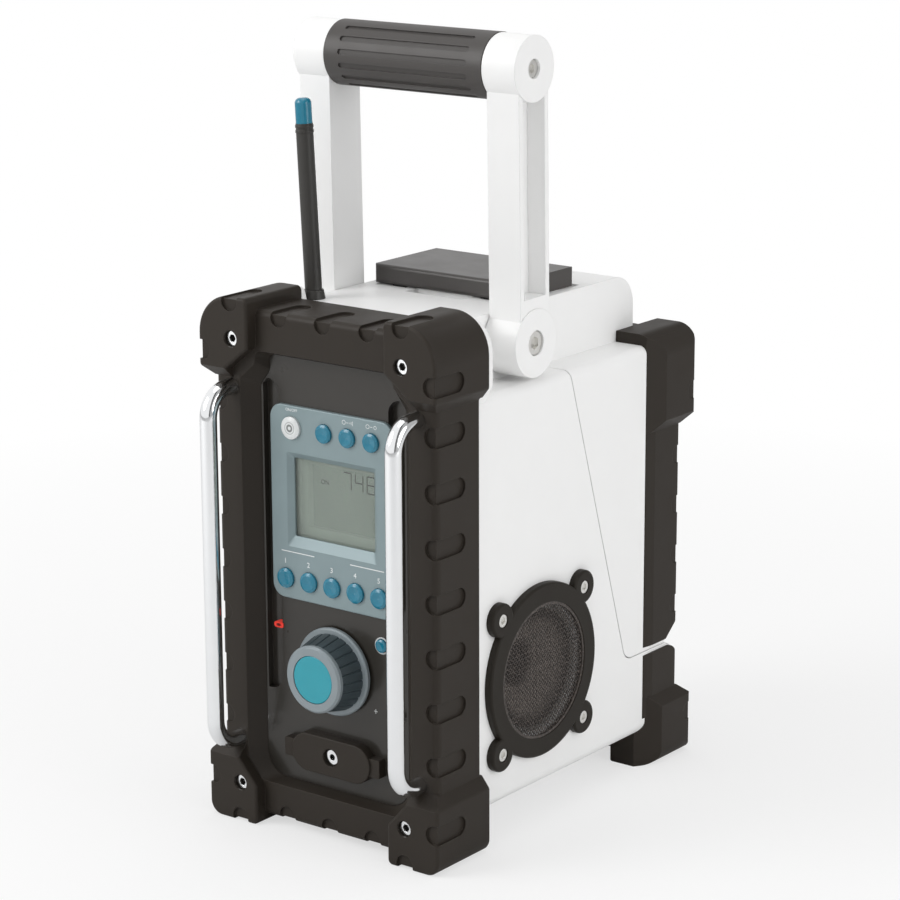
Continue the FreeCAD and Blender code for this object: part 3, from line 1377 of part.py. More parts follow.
def latch_lugs():
    """Two lugs that rise from the well and carry the latch pin."""
    lugs = []
    for sign in (-1, 1):
        x0 = sign * LATCH_LUG_X - LATCH_LUG_WIDE / 2.0
        lug = rod_x(3.2, LATCH_PIN_Y, LATCH_PIN_Z, x0, x0 + LATCH_LUG_WIDE)
        foot = box(x0, x0 + LATCH_LUG_WIDE, LATCH_PIN_Y - 3.2, LATCH_PIN_Y + 3.2,
                   DECK_TOP - LATCH_WELL_DEEP - 0.5, LATCH_PIN_Z)
        lugs += [lug, foot]
    return lugs


def rear_cover():
    shell = body_form(0).cut(front_region(-SPLIT_GAP))
    shell = shell.cut(body_form(WALL)).cut(hinge_room()).cut(shell_corner_cut(True))
    well_floor = box(-LATCH_HALF - 0.5 - WALL, LATCH_HALF + 0.5 + WALL, LATCH_PIN_Y - 16.0 - WALL,
                     LATCH_REAR + 5.0 + WALL, DECK_TOP - LATCH_WELL_DEEP - WALL, DECK_TOP - WALL / 2.0)
    shell = fused([shell, well_floor]).cut(latch_well())
    shell = fused([shell] + latch_lugs())
    shell = shell.cut(rod_x(LATCH_PIN_R, LATCH_PIN_Y, LATCH_PIN_Z, -LATCH_HALF, LATCH_HALF))
    knuckles = [knuckle(x0, x1, 1) for x0, x1 in hinge_barrels(False)]
    shell = fused([shell] + knuckles)
    return shell.cut(rod_x(HINGE_PIN_R + HINGE_FIT, HINGE_Y, SPLIT_Z, -KNUCKLE_SPAN, KNUCKLE_SPAN))


def cover_hinge_pin():
    return rod_x(HINGE_PIN_R, HINGE_Y, SPLIT_Z, -KNUCKLE_SPAN / 2.0 + 1.0, KNUCKLE_SPAN / 2.0 - 1.0)


def latch_pin():
    reach = LATCH_LUG_X + LATCH_LUG_WIDE / 2.0 + 5.0
    return rod_x(LATCH_PIN_R, LATCH_PIN_Y, LATCH_PIN_Z, -reach, reach)


def latch_lever():
    """The slab on top: a shell, open below, with two tongues and two bearing ribs."""
    side = rectangle(LATCH_FRONT, LATCH_REAR, LATCH_FOOT, LATCH_TOP, 2.2)
    plan = rectangle(-LATCH_HALF, LATCH_HALF, LATCH_FRONT, LATCH_REAR, 2.5)
    slab = prism(side, side_point, -LATCH_HALF, LATCH_HALF).common(prism(plan, top_point, 0, BIG))
    half = LATCH_HALF - LATCH_WALL
    slab = slab.cut(box(-half, half, LATCH_FRONT + LATCH_WALL, LATCH_REAR - LATCH_WALL,
                        LATCH_FOOT - 1.0, LATCH_TOP - LATCH_WALL))
    shapes = [slab]
    for sign in (-1, 1):
        gap = LATCH_LUG_WIDE / 2.0 + 0.4
        for edge in (-1, 1):
            x = sign * LATCH_LUG_X + edge * (gap + 1.5)
            shapes.append(box(x - 1.5, x + 1.5, LATCH_PIN_Y - 4.0, LATCH_REAR - 1.0,
                              LATCH_FOOT + 0.3, LATCH_TOP - 1.0))
        x = sign * TONGUE_X
        tongue = box(x - TONGUE_WIDE / 2.0, x + TONGUE_WIDE / 2.0, LATCH_FRONT + 3.0, LATCH_FRONT + 5.5,
                     LATCH_FOOT - TONGUE_LONG, LATCH_FOOT + 3.0)
        web = box(x - TONGUE_WIDE / 2.0, x + TONGUE_WIDE / 2.0, LATCH_FRONT + 1.0, LATCH_FRONT + 5.5,
                  LATCH_FOOT + 2.0, LATCH_TOP - 1.0)
        shapes += [tongue, web]
    whole = fused(shapes)
    for sign in (-1, 1):
        x0 = sign * LATCH_LUG_X - LATCH_LUG_WIDE / 2.0
        whole = whole.cut(box(x0 - 0.4, x0 + LATCH_LUG_WIDE + 0.4, LATCH_PIN_Y, LATCH_REAR + 1.0,
                              LATCH_FOOT - 1.0, LATCH_PIN_Z + LATCH_NOTCH))
    run = LATCH_HALF - 1.0
    return whole.cut(rod_x(LATCH_PIN_R + LATCH_FIT, LATCH_PIN_Y, LATCH_PIN_Z, -run, run))


# Handle

def arm_right():
    lower = rod_x(HUB_R, PIVOT_Y, PIVOT_Z, ARM_INNER, ARM_OUTER)
    upper = rod_x(GRIP_HUB_R, GRIP_Y, GRIP_Z, ARM_INNER, ARM_OUTER)
    line = V(0, GRIP_Y - PIVOT_Y, GRIP_Z - PIVOT_Z)
    across = V(1, 0, 0).cross(line).normalize()
    pivot = V(0, PIVOT_Y, PIVOT_Z)
    bar = arm_prism(pivot, line, across, ARM_HALF, 0.0, 1.0, ARM_INNER, ARM_OUTER - 0.6)
    foot = CHANNEL_FOOT / line.Length
    floor = ARM_OUTER - CHANNEL_DEEP
    channel = arm_prism(pivot, line, across, CHANNEL_HALF, foot, 1.0, floor, ARM_OUTER + 1.0)
    bar = bar.cut(channel.cut(rod_x(GRIP_HUB_R, GRIP_Y, GRIP_Z, 0, BIG)))
    whole = fused([lower, bar, upper])
    whole = whole.cut(rod_x(PIVOT_BOLT_R + PIVOT_FIT, PIVOT_Y, PIVOT_Z, 0, BIG))
    whole = whole.cut(rod_x(PIVOT_HEAD_R + 0.5, PIVOT_Y, PIVOT_Z, ARM_OUTER - PIVOT_HEAD_HIGH - 1.0, BIG))
    whole = whole.cut(rod_x(SPIGOT_R, GRIP_Y, GRIP_Z, 0, ARM_INNER + SPIGOT_LONG))
    whole = whole.cut(rod_x(EAR_SCREW_R + 0.4, GRIP_Y, GRIP_Z, 0, BIG))
    return whole.cut(rod_x(EAR_HEAD_R + 1.7, GRIP_Y, GRIP_Z, ARM_OUTER - 4.0, BIG))


def arm_prism(pivot, line, across, half, start, end, x0, x1):
    """A bar of the handle arm between two fractions of the line from pivot to grip."""
    corners = []
    for fraction, sign in ((start, -1), (start, 1), (end, 1), (end, -1)):
        corners.append(pivot + line * fraction + across * (half * sign) + V(x0, 0, 0))
    return Part.Face(Part.makePolygon(corners + [corners[0]])).extrude(V(x1 - x0, 0, 0))


def handle_pivot_screws():
    """Two shoulder bolts that the arms turn on."""
    inner = DECK_HALF - PIVOT_HEAD_R * 2 + 1.0
    head_face = ARM_OUTER - 1.0
    head = rod_x(PIVOT_HEAD_R, PIVOT_Y, PIVOT_Z, head_face - PIVOT_HEAD_HIGH + 0.3, head_face)
    shoulder = rod_x(PIVOT_BOLT_R, PIVOT_Y, PIVOT_Z, DECK_HALF, head_face - PIVOT_HEAD_HIGH + 0.3)
    thread = rod_x(PIVOT_BOLT_R - 1.0, PIVOT_Y, PIVOT_Z, inner, DECK_HALF)
    bolt = head.fuse([shoulder, thread]).removeSplitter()
    bolt = bolt.cut(hex_socket(head_face, PIVOT_Y, PIVOT_Z, PIVOT_HEAD_R, V(-2.4, 0, 0)))
    return Part.makeCompound(both_sides(bolt))


def handle_crossbar():
    """The bar between the arms, with a spigot in each."""
    bar = rod_x(CROSSBAR_R, GRIP_Y, GRIP_Z, -ARM_INNER, ARM_INNER)
    spigots = rod_x(SPIGOT_R - 0.05, GRIP_Y, GRIP_Z, -ARM_INNER - SPIGOT_LONG, ARM_INNER + SPIGOT_LONG)
    whole = fused([bar, spigots])
    for x0, x1 in ((-BIG, -ARM_INNER + 10.0), (ARM_INNER - 10.0, BIG)):
        whole = whole.cut(rod_x(EAR_SCREW_R, GRIP_Y, GRIP_Z, x0, x1))
    return whole


def handle_grip():
    """The soft sleeve, with long shallow grooves on its front and rear."""
    sleeve = rod_x(GRIP_R, GRIP_Y, GRIP_Z, -ARM_INNER + GRIP_FIT, ARM_INNER - GRIP_FIT)
    sleeve = sleeve.cut(rod_x(CROSSBAR_R, GRIP_Y, GRIP_Z, -BIG, BIG))
    half = GROOVE_WIDE / 2.0
    for side in (-1, 1):
        for i in range(GROOVES_PER_SIDE):
            angle = GROOVE_HIGHEST - i * GROOVE_STEP
            run = GROOVE_LONG / 2.0 - half
            floor = GRIP_R - GROOVE_CUT
            slot = prism(rectangle(-run, run, -half, half), top_point, floor, GRIP_R + 1.0)
            for x in (-run, run):
                slot = slot.fuse(Part.makeCylinder(half, GROOVE_CUT + 1.0, V(x, 0, floor)))
            slot.rotate(V(0, 0, 0), V(1, 0, 0), side * (90.0 - angle))
            slot.translate(V(0, GRIP_Y, GRIP_Z))
            sleeve = sleeve.cut(slot)
    return sleeve


def handle_grip_screws():
    """The two screws that pull the arms onto the crossbar."""
    face = ARM_OUTER - 1.6
    head = rod_x(EAR_HEAD_R + 1.2, GRIP_Y, GRIP_Z, ARM_OUTER - 4.0, face)
    shank = rod_x(EAR_SCREW_R, GRIP_Y, GRIP_Z, ARM_INNER - 9.0, ARM_OUTER - 4.0)
    screw = head.fuse(shank).removeSplitter()
    screw = screw.cut(hex_socket(face, GRIP_Y, GRIP_Z, EAR_HEAD_R + 1.0, V(-1.5, 0, 0)))
    return Part.makeCompound(both_sides(screw))


# Battery mount and supply socket

def battery_mount():
    """Two undercut rails and a contact block, fixed to the slanted wall of the front housing."""
    half = BATTERY_MOUNT_HALF
    run = BATTERY_MOUNT_LONG / 2.0
    plate = box(-half, half, 0, WALL, -run, run)
    shapes = [plate]
    for sign in (-1, 1):
        web = box(min(sign * half, sign * (half - WALL)), max(sign * half, sign * (half - WALL)),
                  0, BATTERY_MOUNT_THICK, -run, run)
        inner = sign * (half - RAIL_LIP - WALL)
        lip = box(min(sign * half, inner), max(sign * half, inner), BATTERY_MOUNT_THICK - WALL,
                  BATTERY_MOUNT_THICK, -run, run)
        shapes += [web, lip]
    shapes.append(box(-12.0, 12.0, 0, BATTERY_MOUNT_THICK - 2.0, -run, -run + 14.0))
    for x in (-8.0, 0.0, 8.0):
        shapes.append(box(x - 0.5, x + 0.5, BATTERY_MOUNT_THICK - 5.0, BATTERY_MOUNT_THICK - 2.5,
                          -run + 13.0, -run + 24.0))
    mount = fused(shapes)
    tilt = math.degrees(math.atan2(SPLIT_LOW_Y - SPLIT_TOP_Y, DECK_TOP - SPLIT_Z))
    mount.rotate(V(0, 0, 0), V(1, 0, 0), tilt)
    y = SPLIT_TOP_Y + (SPLIT_LOW_Y - SPLIT_TOP_Y) * (DECK_TOP - BATTERY_MOUNT_Z) / (DECK_TOP - SPLIT_Z)
    mount.translate(V(0, y - SPLIT_GAP, BATTERY_MOUNT_Z))
    return mount.cut(front_region(SPLIT_GAP))


def dc_socket():
    """The barrel socket in the rear wall, with its centre pin."""
    barrel = rod_y(DC_R, 0, DC_Z, HOUSING_REAR - DC_LONG, HOUSING_REAR)
    flange = rod_y(DC_R + 2.0, 0, DC_Z, HOUSING_REAR - WALL - 1.5, HOUSING_REAR - WALL)
    body = fused([barrel, flange]).cut(rod_y(DC_BORE_R, 0, DC_Z, HOUSING_REAR - DC_LONG + 2.0, BIG))
    pin = rod_y(1.0, 0, DC_Z, HOUSING_REAR - DC_LONG + 1.0, HOUSING_REAR - 1.5)
    return fused([body, pin])


def save_pairs(node, right):
    save(node + "_right", right)
    save(node + "_left", mirrored(right))


def main():
    os.makedirs("parts", exist_ok=True)
    save("front_housing", front_housing())
    save("front_bumper", front_bumper())
    save("front_panel", front_panel())
    save("display_bezel", display_bezel())
    save("indicator_lens", indicator_lens())
    save("lcd_lens", lcd_lens())
    save("lcd_module", lcd_module())
    save("main_board", main_board())
    save("tact_switches", tact_switches())
    for name, x, z, radius in button_list():
        alone = name == "scan_button"
        front = (PANEL_FRONT if alone else BEZEL_FRONT) - BUTTON_PROUD
        dished = 0.0 if name == "power_button" else 1.0
        save(name, button_cap(x, z, radius, front, dished, SCAN_LIP if alone else BUTTON_LIP))
    save("encoder_housing", encoder_housing())
    save("encoder_slider", encoder_slider())
    save("encoder_shaft", encoder_shaft())
    save("knob_body", knob_body())
    save("knob_skirt", knob_skirt())
    save("knob_cap", knob_cap())
    save("aux_boss", aux_boss())
    save("aux_jack", aux_jack())
    save_pairs("guard_bar", guard_bar())
    save("frame_screws", frame_screws())
    save_pairs("speaker_ring", speaker_ring())
    save_pairs("speaker_grille", speaker_grille())
    save_pairs("speaker_basket", speaker_basket())
    save_pairs("speaker_cone", speaker_cone())
    save_pairs("speaker_magnet", speaker_magnet())
    save_pairs("speaker_screws", speaker_screws())
    save("antenna_base", antenna_base())
    save("antenna_rod", antenna_rod())
    save("antenna_tip", antenna_tip())
    save("rear_lower_bumper", rear_lower_bumper())
    save("rear_cover_bumper", rear_cover_bumper())
    save("rear_cover", rear_cover())
    save("cover_hinge_pin", cover_hinge_pin())
    save("latch_lever", latch_lever())
    save("latch_pin", latch_pin())
    save_pairs("handle_arm", arm_right())
    save("handle_crossbar", handle_crossbar())
    save("handle_grip", handle_grip())
    save("handle_grip_screws", handle_grip_screws())
    save("handle_pivot_screws", handle_pivot_screws())
    save("battery_mount", battery_mount())
    save("dc_socket", dc_socket())


if __name__ == "__main__":
    main()
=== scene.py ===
"""The looks of a compact jobsite radio, built around its fixed frame. Metres, +Z up, front faces -Y."""

import math

import bmesh
import bpy
from mathutils import Matrix, Vector


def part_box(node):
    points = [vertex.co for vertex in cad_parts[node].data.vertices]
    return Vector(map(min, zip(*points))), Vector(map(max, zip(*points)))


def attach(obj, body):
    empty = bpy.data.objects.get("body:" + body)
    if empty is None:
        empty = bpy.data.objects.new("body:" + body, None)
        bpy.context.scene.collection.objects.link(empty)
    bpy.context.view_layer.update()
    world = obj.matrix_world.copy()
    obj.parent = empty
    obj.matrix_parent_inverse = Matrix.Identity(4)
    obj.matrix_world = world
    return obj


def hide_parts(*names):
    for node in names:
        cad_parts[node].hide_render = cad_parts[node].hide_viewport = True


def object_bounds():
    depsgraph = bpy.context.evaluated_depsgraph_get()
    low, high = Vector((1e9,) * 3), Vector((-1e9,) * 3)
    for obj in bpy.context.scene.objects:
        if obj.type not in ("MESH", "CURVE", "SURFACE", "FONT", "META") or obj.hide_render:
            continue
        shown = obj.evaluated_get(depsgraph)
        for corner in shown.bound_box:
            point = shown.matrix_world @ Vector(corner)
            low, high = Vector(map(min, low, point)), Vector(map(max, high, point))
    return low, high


bl_info = {
    "name": "Jobsite radio",
    "version": (1, 0, 0),
    "blender": (4, 5, 0),
    "location": "View3D > Sidebar > Radio",
    "description": "Finishes, meshes, legends and studio of a jobsite radio",
    "category": "Object",
}

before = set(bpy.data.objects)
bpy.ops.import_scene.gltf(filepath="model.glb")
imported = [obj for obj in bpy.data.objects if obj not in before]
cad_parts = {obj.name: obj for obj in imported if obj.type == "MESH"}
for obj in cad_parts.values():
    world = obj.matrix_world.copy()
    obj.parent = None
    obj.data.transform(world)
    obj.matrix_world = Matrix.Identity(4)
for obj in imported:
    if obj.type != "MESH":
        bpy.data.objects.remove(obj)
cad_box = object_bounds()

MM = 0.001
TINY = 1e-6


# The frame's own places

def middle(node):
    low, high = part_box(node)
    return (low + high) / 2.0


def radius_of(node):
    """Half the height of a round node."""
    low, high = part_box(node)
    return (high.z - low.z) / 2.0


# Sizes and colours that a user would change

class RadioColours(bpy.types.PropertyGroup):
    shell: bpy.props.FloatVectorProperty(
        name="Shell", description="White moulded housing, cover and handle arms",
        default=(0.93, 0.93, 0.925), min=0.0, max=1.0, size=3, subtype="COLOR")
    bumper: bpy.props.FloatVectorProperty(
        name="Bumper", description="Dark elastomer of the bumpers",
        default=(0.027, 0.0215, 0.0165), min=0.0, max=1.0, size=3, subtype="COLOR")
    fascia: bpy.props.FloatVectorProperty(
        name="Fascia", description="Glossy dark front panel",
        default=(0.028, 0.0245, 0.020), min=0.0, max=1.0, size=3, subtype="COLOR")
    bezel: bpy.props.FloatVectorProperty(
        name="Bezel", description="Grey-blue display surround",
        default=(0.24, 0.31, 0.325), min=0.0, max=1.0, size=3, subtype="COLOR")
    display: bpy.props.FloatVectorProperty(
        name="Display", description="Unlit liquid crystal display",
        default=(0.37, 0.44, 0.375), min=0.0, max=1.0, size=3, subtype="COLOR")
    segment: bpy.props.FloatVectorProperty(
        name="Display digits", description="Dark segments of the display",
        default=(0.030, 0.036, 0.031), min=0.0, max=1.0, size=3, subtype="COLOR")
    teal: bpy.props.FloatVectorProperty(
        name="Teal", description="Push buttons, knob cap and antenna tip",
        default=(0.006, 0.185, 0.285), min=0.0, max=1.0, size=3, subtype="COLOR")
    cap: bpy.props.FloatVectorProperty(
        name="Knob cap", description="Coloured disc in the end of the knob",
        default=(0.007, 0.31, 0.385), min=0.0, max=1.0, size=3, subtype="COLOR")
    silver: bpy.props.FloatVectorProperty(
        name="Silver button", description="Pale power button",
        default=(0.74, 0.76, 0.76), min=0.0, max=1.0, size=3, subtype="COLOR")
    knob: bpy.props.FloatVectorProperty(
        name="Knob body", description="Grey moulding of the tuning knob",
        default=(0.25, 0.29, 0.31), min=0.0, max=1.0, size=3, subtype="COLOR")
    skirt: bpy.props.FloatVectorProperty(
        name="Knob skirt", description="Dark fluted sleeve of the knob",
        default=(0.045, 0.062, 0.070), min=0.0, max=1.0, size=3, subtype="COLOR")
    grip: bpy.props.FloatVectorProperty(
        name="Grip", description="Soft sleeve of the handle and the latch lever",
        default=(0.055, 0.050, 0.047), min=0.0, max=1.0, size=3, subtype="COLOR")
    antenna: bpy.props.FloatVectorProperty(
        name="Antenna", description="Rubber cover of the antenna",
        default=(0.030, 0.028, 0.025), min=0.0, max=1.0, size=3, subtype="COLOR")
    speaker: bpy.props.FloatVectorProperty(
        name="Speaker ring", description="Dark frame round each speaker",
        default=(0.018, 0.0145, 0.0105), min=0.0, max=1.0, size=3, subtype="COLOR")
    mesh: bpy.props.FloatVectorProperty(
        name="Speaker mesh", description="Painted woven wire",
        default=(0.035, 0.028, 0.024), min=0.0, max=1.0, size=3, subtype="COLOR")
    legend: bpy.props.FloatVectorProperty(
        name="Legend ink", description="White printed marks",
        default=(0.80, 0.82, 0.82), min=0.0, max=1.0, size=3, subtype="COLOR")


class RadioSizes(bpy.types.PropertyGroup):
    weave_pitch: bpy.props.FloatProperty(
        name="Weave pitch", description="Distance between wires of the speaker mesh",
        default=1.9 * MM, min=1.0 * MM, max=6.0 * MM, subtype="DISTANCE", unit="LENGTH")
    wire_radius: bpy.props.FloatProperty(
        name="Wire radius", description="Radius of one wire of the speaker mesh",
        default=0.31 * MM, min=0.1 * MM, max=1.0 * MM, subtype="DISTANCE", unit="LENGTH")
    digit_height: bpy.props.FloatProperty(
        name="Digit height", description="Height of a digit in the display",
        default=9.4 * MM, min=3.0 * MM, max=20.0 * MM, subtype="DISTANCE", unit="LENGTH")
    digit_width: bpy.props.FloatProperty(
        name="Digit width", description="Width of a digit in the display",
        default=5.2 * MM, min=2.0 * MM, max=12.0 * MM, subtype="DISTANCE", unit="LENGTH")
    digit_stroke: bpy.props.FloatProperty(
        name="Digit stroke", description="Width of one display segment",
        default=0.75 * MM, min=0.2 * MM, max=3.0 * MM, subtype="DISTANCE", unit="LENGTH")
    number_height: bpy.props.FloatProperty(
        name="Number height", description="Height of the numbers over the preset buttons",
        default=2.9 * MM, min=1.0 * MM, max=6.0 * MM, subtype="DISTANCE", unit="LENGTH")
    ink: bpy.props.FloatProperty(
        name="Ink thickness", description="How far printed marks stand off their surface",
        default=0.06 * MM, min=0.01 * MM, max=0.5 * MM, subtype="DISTANCE", unit="LENGTH")


class RadioStage(bpy.types.PropertyGroup):
    azimuth: bpy.props.FloatProperty(
        name="Camera azimuth", description="Turn of the camera from the front towards +X",
        default=math.radians(37.323), subtype="ANGLE", unit="ROTATION")
    elevation: bpy.props.FloatProperty(
        name="Camera elevation", description="Height of the camera over the horizon",
        default=math.radians(14.605), subtype="ANGLE", unit="ROTATION")
    roll: bpy.props.FloatProperty(
        name="Camera roll", description="Small turn about the line of sight",
        default=math.radians(-0.238), subtype="ANGLE", unit="ROTATION")
    distance: bpy.props.FloatProperty(
        name="Camera distance", description="From the point on the ground at the front corners' plane",
        default=1.632256, min=0.5, max=5.0, subtype="DISTANCE", unit="LENGTH")
    aim_right: bpy.props.FloatProperty(
        name="Aim right", description="Shift of the camera to its own right",
        default=71.434 * MM, subtype="DISTANCE", unit="LENGTH")
    aim_up: bpy.props.FloatProperty(
        name="Aim up", description="Shift of the camera to its own top",
        default=218.396 * MM, subtype="DISTANCE", unit="LENGTH")
    lens: bpy.props.FloatProperty(
        name="Lens", description="Focal length on a 36 mm wide sensor",
        default=117.96, min=20.0, max=300.0, subtype="DISTANCE_CAMERA")
    ambient: bpy.props.FloatProperty(
        name="Ambient", description="Level of the white room light",
        default=0.50, min=0.0, max=2.0)
    key: bpy.props.FloatProperty(
        name="Key light", description="Power of the large soft light at the front left",
        default=15.0, min=0.0, max=100.0, subtype="POWER", unit="POWER")
    side: bpy.props.FloatProperty(
        name="Side light", description="Power of the soft light at the right",
        default=9.0, min=0.0, max=100.0, subtype="POWER", unit="POWER")
    top: bpy.props.FloatProperty(
        name="Top light", description="Power of the soft light overhead",
        default=6.0, min=0.0, max=100.0, subtype="POWER", unit="POWER")


def colours():
    return bpy.context.scene.radio_colours


def sizes():
    return bpy.context.scene.radio_sizes


def stage_values():
    return bpy.context.scene.radio_stage


# Shader maths

class Value:
    """A socket that takes part in sums. Each sum adds one Math node."""

    def __init__(self, finish, socket):
        self.finish = finish
        self.socket = socket

    def __add__(self, other):
        return self.finish.maths("ADD", self, other)

    def __radd__(self, other):
        return self.finish.maths("ADD", other, self)

    def __sub__(self, other):
        return self.finish.maths("SUBTRACT", self, other)

    def __rsub__(self, other):
        return self.finish.maths("SUBTRACT", other, self)

    def __mul__(self, other):
        return self.finish.maths("MULTIPLY", self, other)

    def __rmul__(self, other):
        return self.finish.maths("MULTIPLY", other, self)

    def __pow__(self, other):
        return self.finish.maths("POWER", self, other)


def set_stops(ramp, stops):
    """Gives a ramp its grey levels."""
    while len(ramp.elements) < len(stops):
        ramp.elements.new(1.0)
    for element, (position, level) in zip(ramp.elements, stops):
        element.position = position
        element.color = (level, level, level, 1.0)


class Finish:
    """One procedural material and the tools that wire it."""

    def __init__(self, name, colour, roughness, **constants):
        self.material = bpy.data.materials.new(name)
        self.material.use_nodes = True
        self.tree = self.material.node_tree
        self.tree.nodes.clear()
        self.shader = self.node("ShaderNodeBsdfPrincipled", {}, constants)
        self.set("Base Color", (*colour, 1.0))
        self.set("Roughness", roughness)
        output = self.node("ShaderNodeOutputMaterial", {}, {})
        self.tree.links.new(self.shader.outputs["BSDF"], output.inputs["Surface"])
        self.place = self.value(self.node("ShaderNodeTexCoord", {}, {}), "Object")

    def node(self, kind, settings, inputs):
        """Adds a node of any kind: its settings first, then the values or links of its sockets."""
        made = self.tree.nodes.new(kind)
        for name, setting in settings.items():
            if name == "stops":
                set_stops(made.color_ramp, setting)
            else:
                setattr(made, name, setting)
        for name, given in inputs.items():
            if isinstance(given, Value):
                self.tree.links.new(given.socket, made.inputs[name])
            else:
                made.inputs[name].default_value = given
        return made

    def value(self, node, output):
        return Value(self, node.outputs[output])

    def set(self, socket, given):
        """Gives one of the shader's sockets a value or a link."""
        if isinstance(given, Value):
            self.tree.links.new(given.socket, self.shader.inputs[socket])
        else:
            self.shader.inputs[socket].default_value = given

    def maths(self, operation, first, second):
        made = self.node("ShaderNodeMath", {"operation": operation}, {0: first, 1: second})
        return self.value(made, 0)

    def noise(self, size, detail=2.0, stretch=(1.0, 1.0, 1.0)):
        """Soft noise whose grains are about one size across, in metres."""
        drawn = self.node("ShaderNodeMapping", {}, {"Vector": self.place, "Scale": stretch})
        made = self.node("ShaderNodeTexNoise", {},
                         {"Vector": self.value(drawn, "Vector"), "Scale": 1.0 / size, "Detail": detail})
        return self.value(made, "Fac")

    def ramp(self, factor, stops):
        made = self.node("ShaderNodeValToRGB", {"stops": stops}, {"Fac": factor})
        return self.value(made, "Color")

    def blend(self, factor, first, second):
        """A colour between two, each a triple or a link."""
        first = first if isinstance(first, Value) else (*first, 1.0)
        second = second if isinstance(second, Value) else (*second, 1.0)
        made = self.node("ShaderNodeMix", {"data_type": "RGBA"}, {0: factor, 6: first, 7: second})
        return self.value(made, 2)

    def part(self, axis):
        made = self.node("ShaderNodeSeparateXYZ", {}, {0: self.place})
        return self.value(made, axis)

    def reach(self, first, second, centre):
        """Distance from a centre in the plane of two axes."""
        across = self.part(first) - getattr(centre, first.lower())
        upright = self.part(second) - getattr(centre, second.lower())
        return (across * across + upright * upright) ** 0.5

    def eased(self, radius):
        """The surface's normal with its sharp edges eased over a radius."""
        made = self.node("ShaderNodeBevel", {"samples": 4}, {"Radius": radius})
        return self.value(made, "Normal")

    def edges(self, normal):
        """1 on an eased edge, 0 on the flat."""
        true = self.value(self.node("ShaderNodeNewGeometry", {}, {}), "Normal")
        dot = self.node("ShaderNodeVectorMath", {"operation": "DOT_PRODUCT"}, {0: normal, 1: true})
        return self.ramp(1.0 - self.value(dot, "Value"), ((0.0, 0.0), (0.14, 1.0)))

    def bump(self, height, depth, normal=None):
        """Raises the surface by height times depth, in metres."""
        inputs = {"Height": height, "Distance": depth, "Strength": 1.0}
        if normal is not None:
            inputs["Normal"] = normal
        self.set("Normal", self.value(self.node("ShaderNodeBump", {}, inputs), "Normal"))


def scaled(colour, factor):
    return tuple(min(1.0, channel * factor) for channel in colour)


def moulded(name, colour, roughness, grain, depth, ease, edge_highlight=1.25, patch=0.06, **constants):
    """Moulded plastic or rubber: eroded texture, patchy gloss, eased edges painted a little lighter as
    highlights.
    """
    finish = Finish(name, colour, roughness, **constants)
    patches = finish.noise(14.0 * MM, 3.0)
    normal = finish.eased(ease)
    # Painted highlight: the eased edges are made lighter in noisy patches, by the factor given for the
    # edge highlight.
    highlit_edges = finish.edges(normal) * finish.ramp(finish.noise(3.0 * MM, 3.0), ((0.35, 0.2), (0.65, 1.0)))
    tone = finish.blend(patches, scaled(colour, 1.0 - patch), scaled(colour, 1.0 + patch))
    finish.set("Base Color", finish.blend(highlit_edges, tone, scaled(colour, edge_highlight)))
    finish.set("Roughness", (patches - 0.5) * 0.12 + roughness)
    finish.bump(finish.noise(grain, 2.0), depth, normal)
    return finish


def shell_plastic():
    """White satin plastic with a very fine texture."""
    return moulded("shell_plastic", colours().shell, 0.42, grain=0.5 * MM, depth=0.006 * MM, ease=0.5 * MM,
                   edge_highlight=1.02, patch=0.01, **{"Specular IOR Level": 0.35}).material


def bumper_rubber():
    """Dark brown-black elastomer with an eroded texture and highlights painted lighter on its edges."""
    return moulded("bumper_rubber", colours().bumper, 0.50, grain=0.7 * MM, depth=0.02 * MM, ease=0.7 * MM,
                   edge_highlight=1.7, **{"Specular IOR Level": 0.22}).material


def fascia_gloss():
    """Near-black panel with a polished lacquer."""
    gloss = {"Coat Weight": 0.35, "Coat Roughness": 0.12, "Specular IOR Level": 0.3}
    return moulded("fascia_gloss", colours().fascia, 0.30, grain=1.2 * MM, depth=0.002 * MM, ease=0.4 * MM,
                   edge_highlight=1.3, **gloss).material


def bezel_paint():
    """Grey-blue satin paint."""
    return moulded("bezel_paint", colours().bezel, 0.38, grain=0.4 * MM, depth=0.004 * MM, ease=0.35 * MM,
                   edge_highlight=1.2, **{"Metallic": 0.15, "Specular IOR Level": 0.4}).material


def teal_plastic(name, colour):
    """Glossy coloured plastic."""
    return moulded(name, colour, 0.22, grain=1.5 * MM, depth=0.003 * MM, ease=0.3 * MM, edge_highlight=1.35,
                   **{"Coat Weight": 0.3, "Coat Roughness": 0.08}).material


def silver_plastic():
    """Pale button with turned rings round its centre."""
    finish = moulded("silver_plastic", colours().silver, 0.28, grain=0.8 * MM, depth=0.003 * MM,
                     ease=0.3 * MM, edge_highlight=1.1)
    reach = finish.reach("X", "Z", middle("power_button"))
    ring = finish.ramp(reach * (1.0 / radius_of("power_button")),
                       ((0.0, 0.0), (0.12, 0.0), (0.16, 1.0), (0.27, 1.0), (0.32, 0.0), (0.38, 0.0),
                        (0.44, 0.75), (0.50, 0.0)))
    finish.set("Base Color", finish.blend(ring, colours().silver, (0.20, 0.21, 0.21)))
    return finish.material


def silver_ring():
    """Pale satin trim."""
    return moulded("silver_ring", scaled(colours().silver, 0.8), 0.3, grain=0.8 * MM, depth=0.003 * MM,
                   ease=0.1 * MM, edge_highlight=1.1).material


def knob_plastic():
    """Satin grey plastic."""
    return moulded("knob_plastic", colours().knob, 0.34, grain=0.5 * MM, depth=0.004 * MM, ease=0.4 * MM,
                   edge_highlight=1.3, **{"Metallic": 0.1}).material


def skirt_rubber():
    """Dark sleeve whose flutes are painted pale on their edges as highlights."""
    return moulded("skirt_rubber", colours().skirt, 0.38, grain=0.6 * MM, depth=0.01 * MM, ease=0.25 * MM,
                   edge_highlight=2.6).material


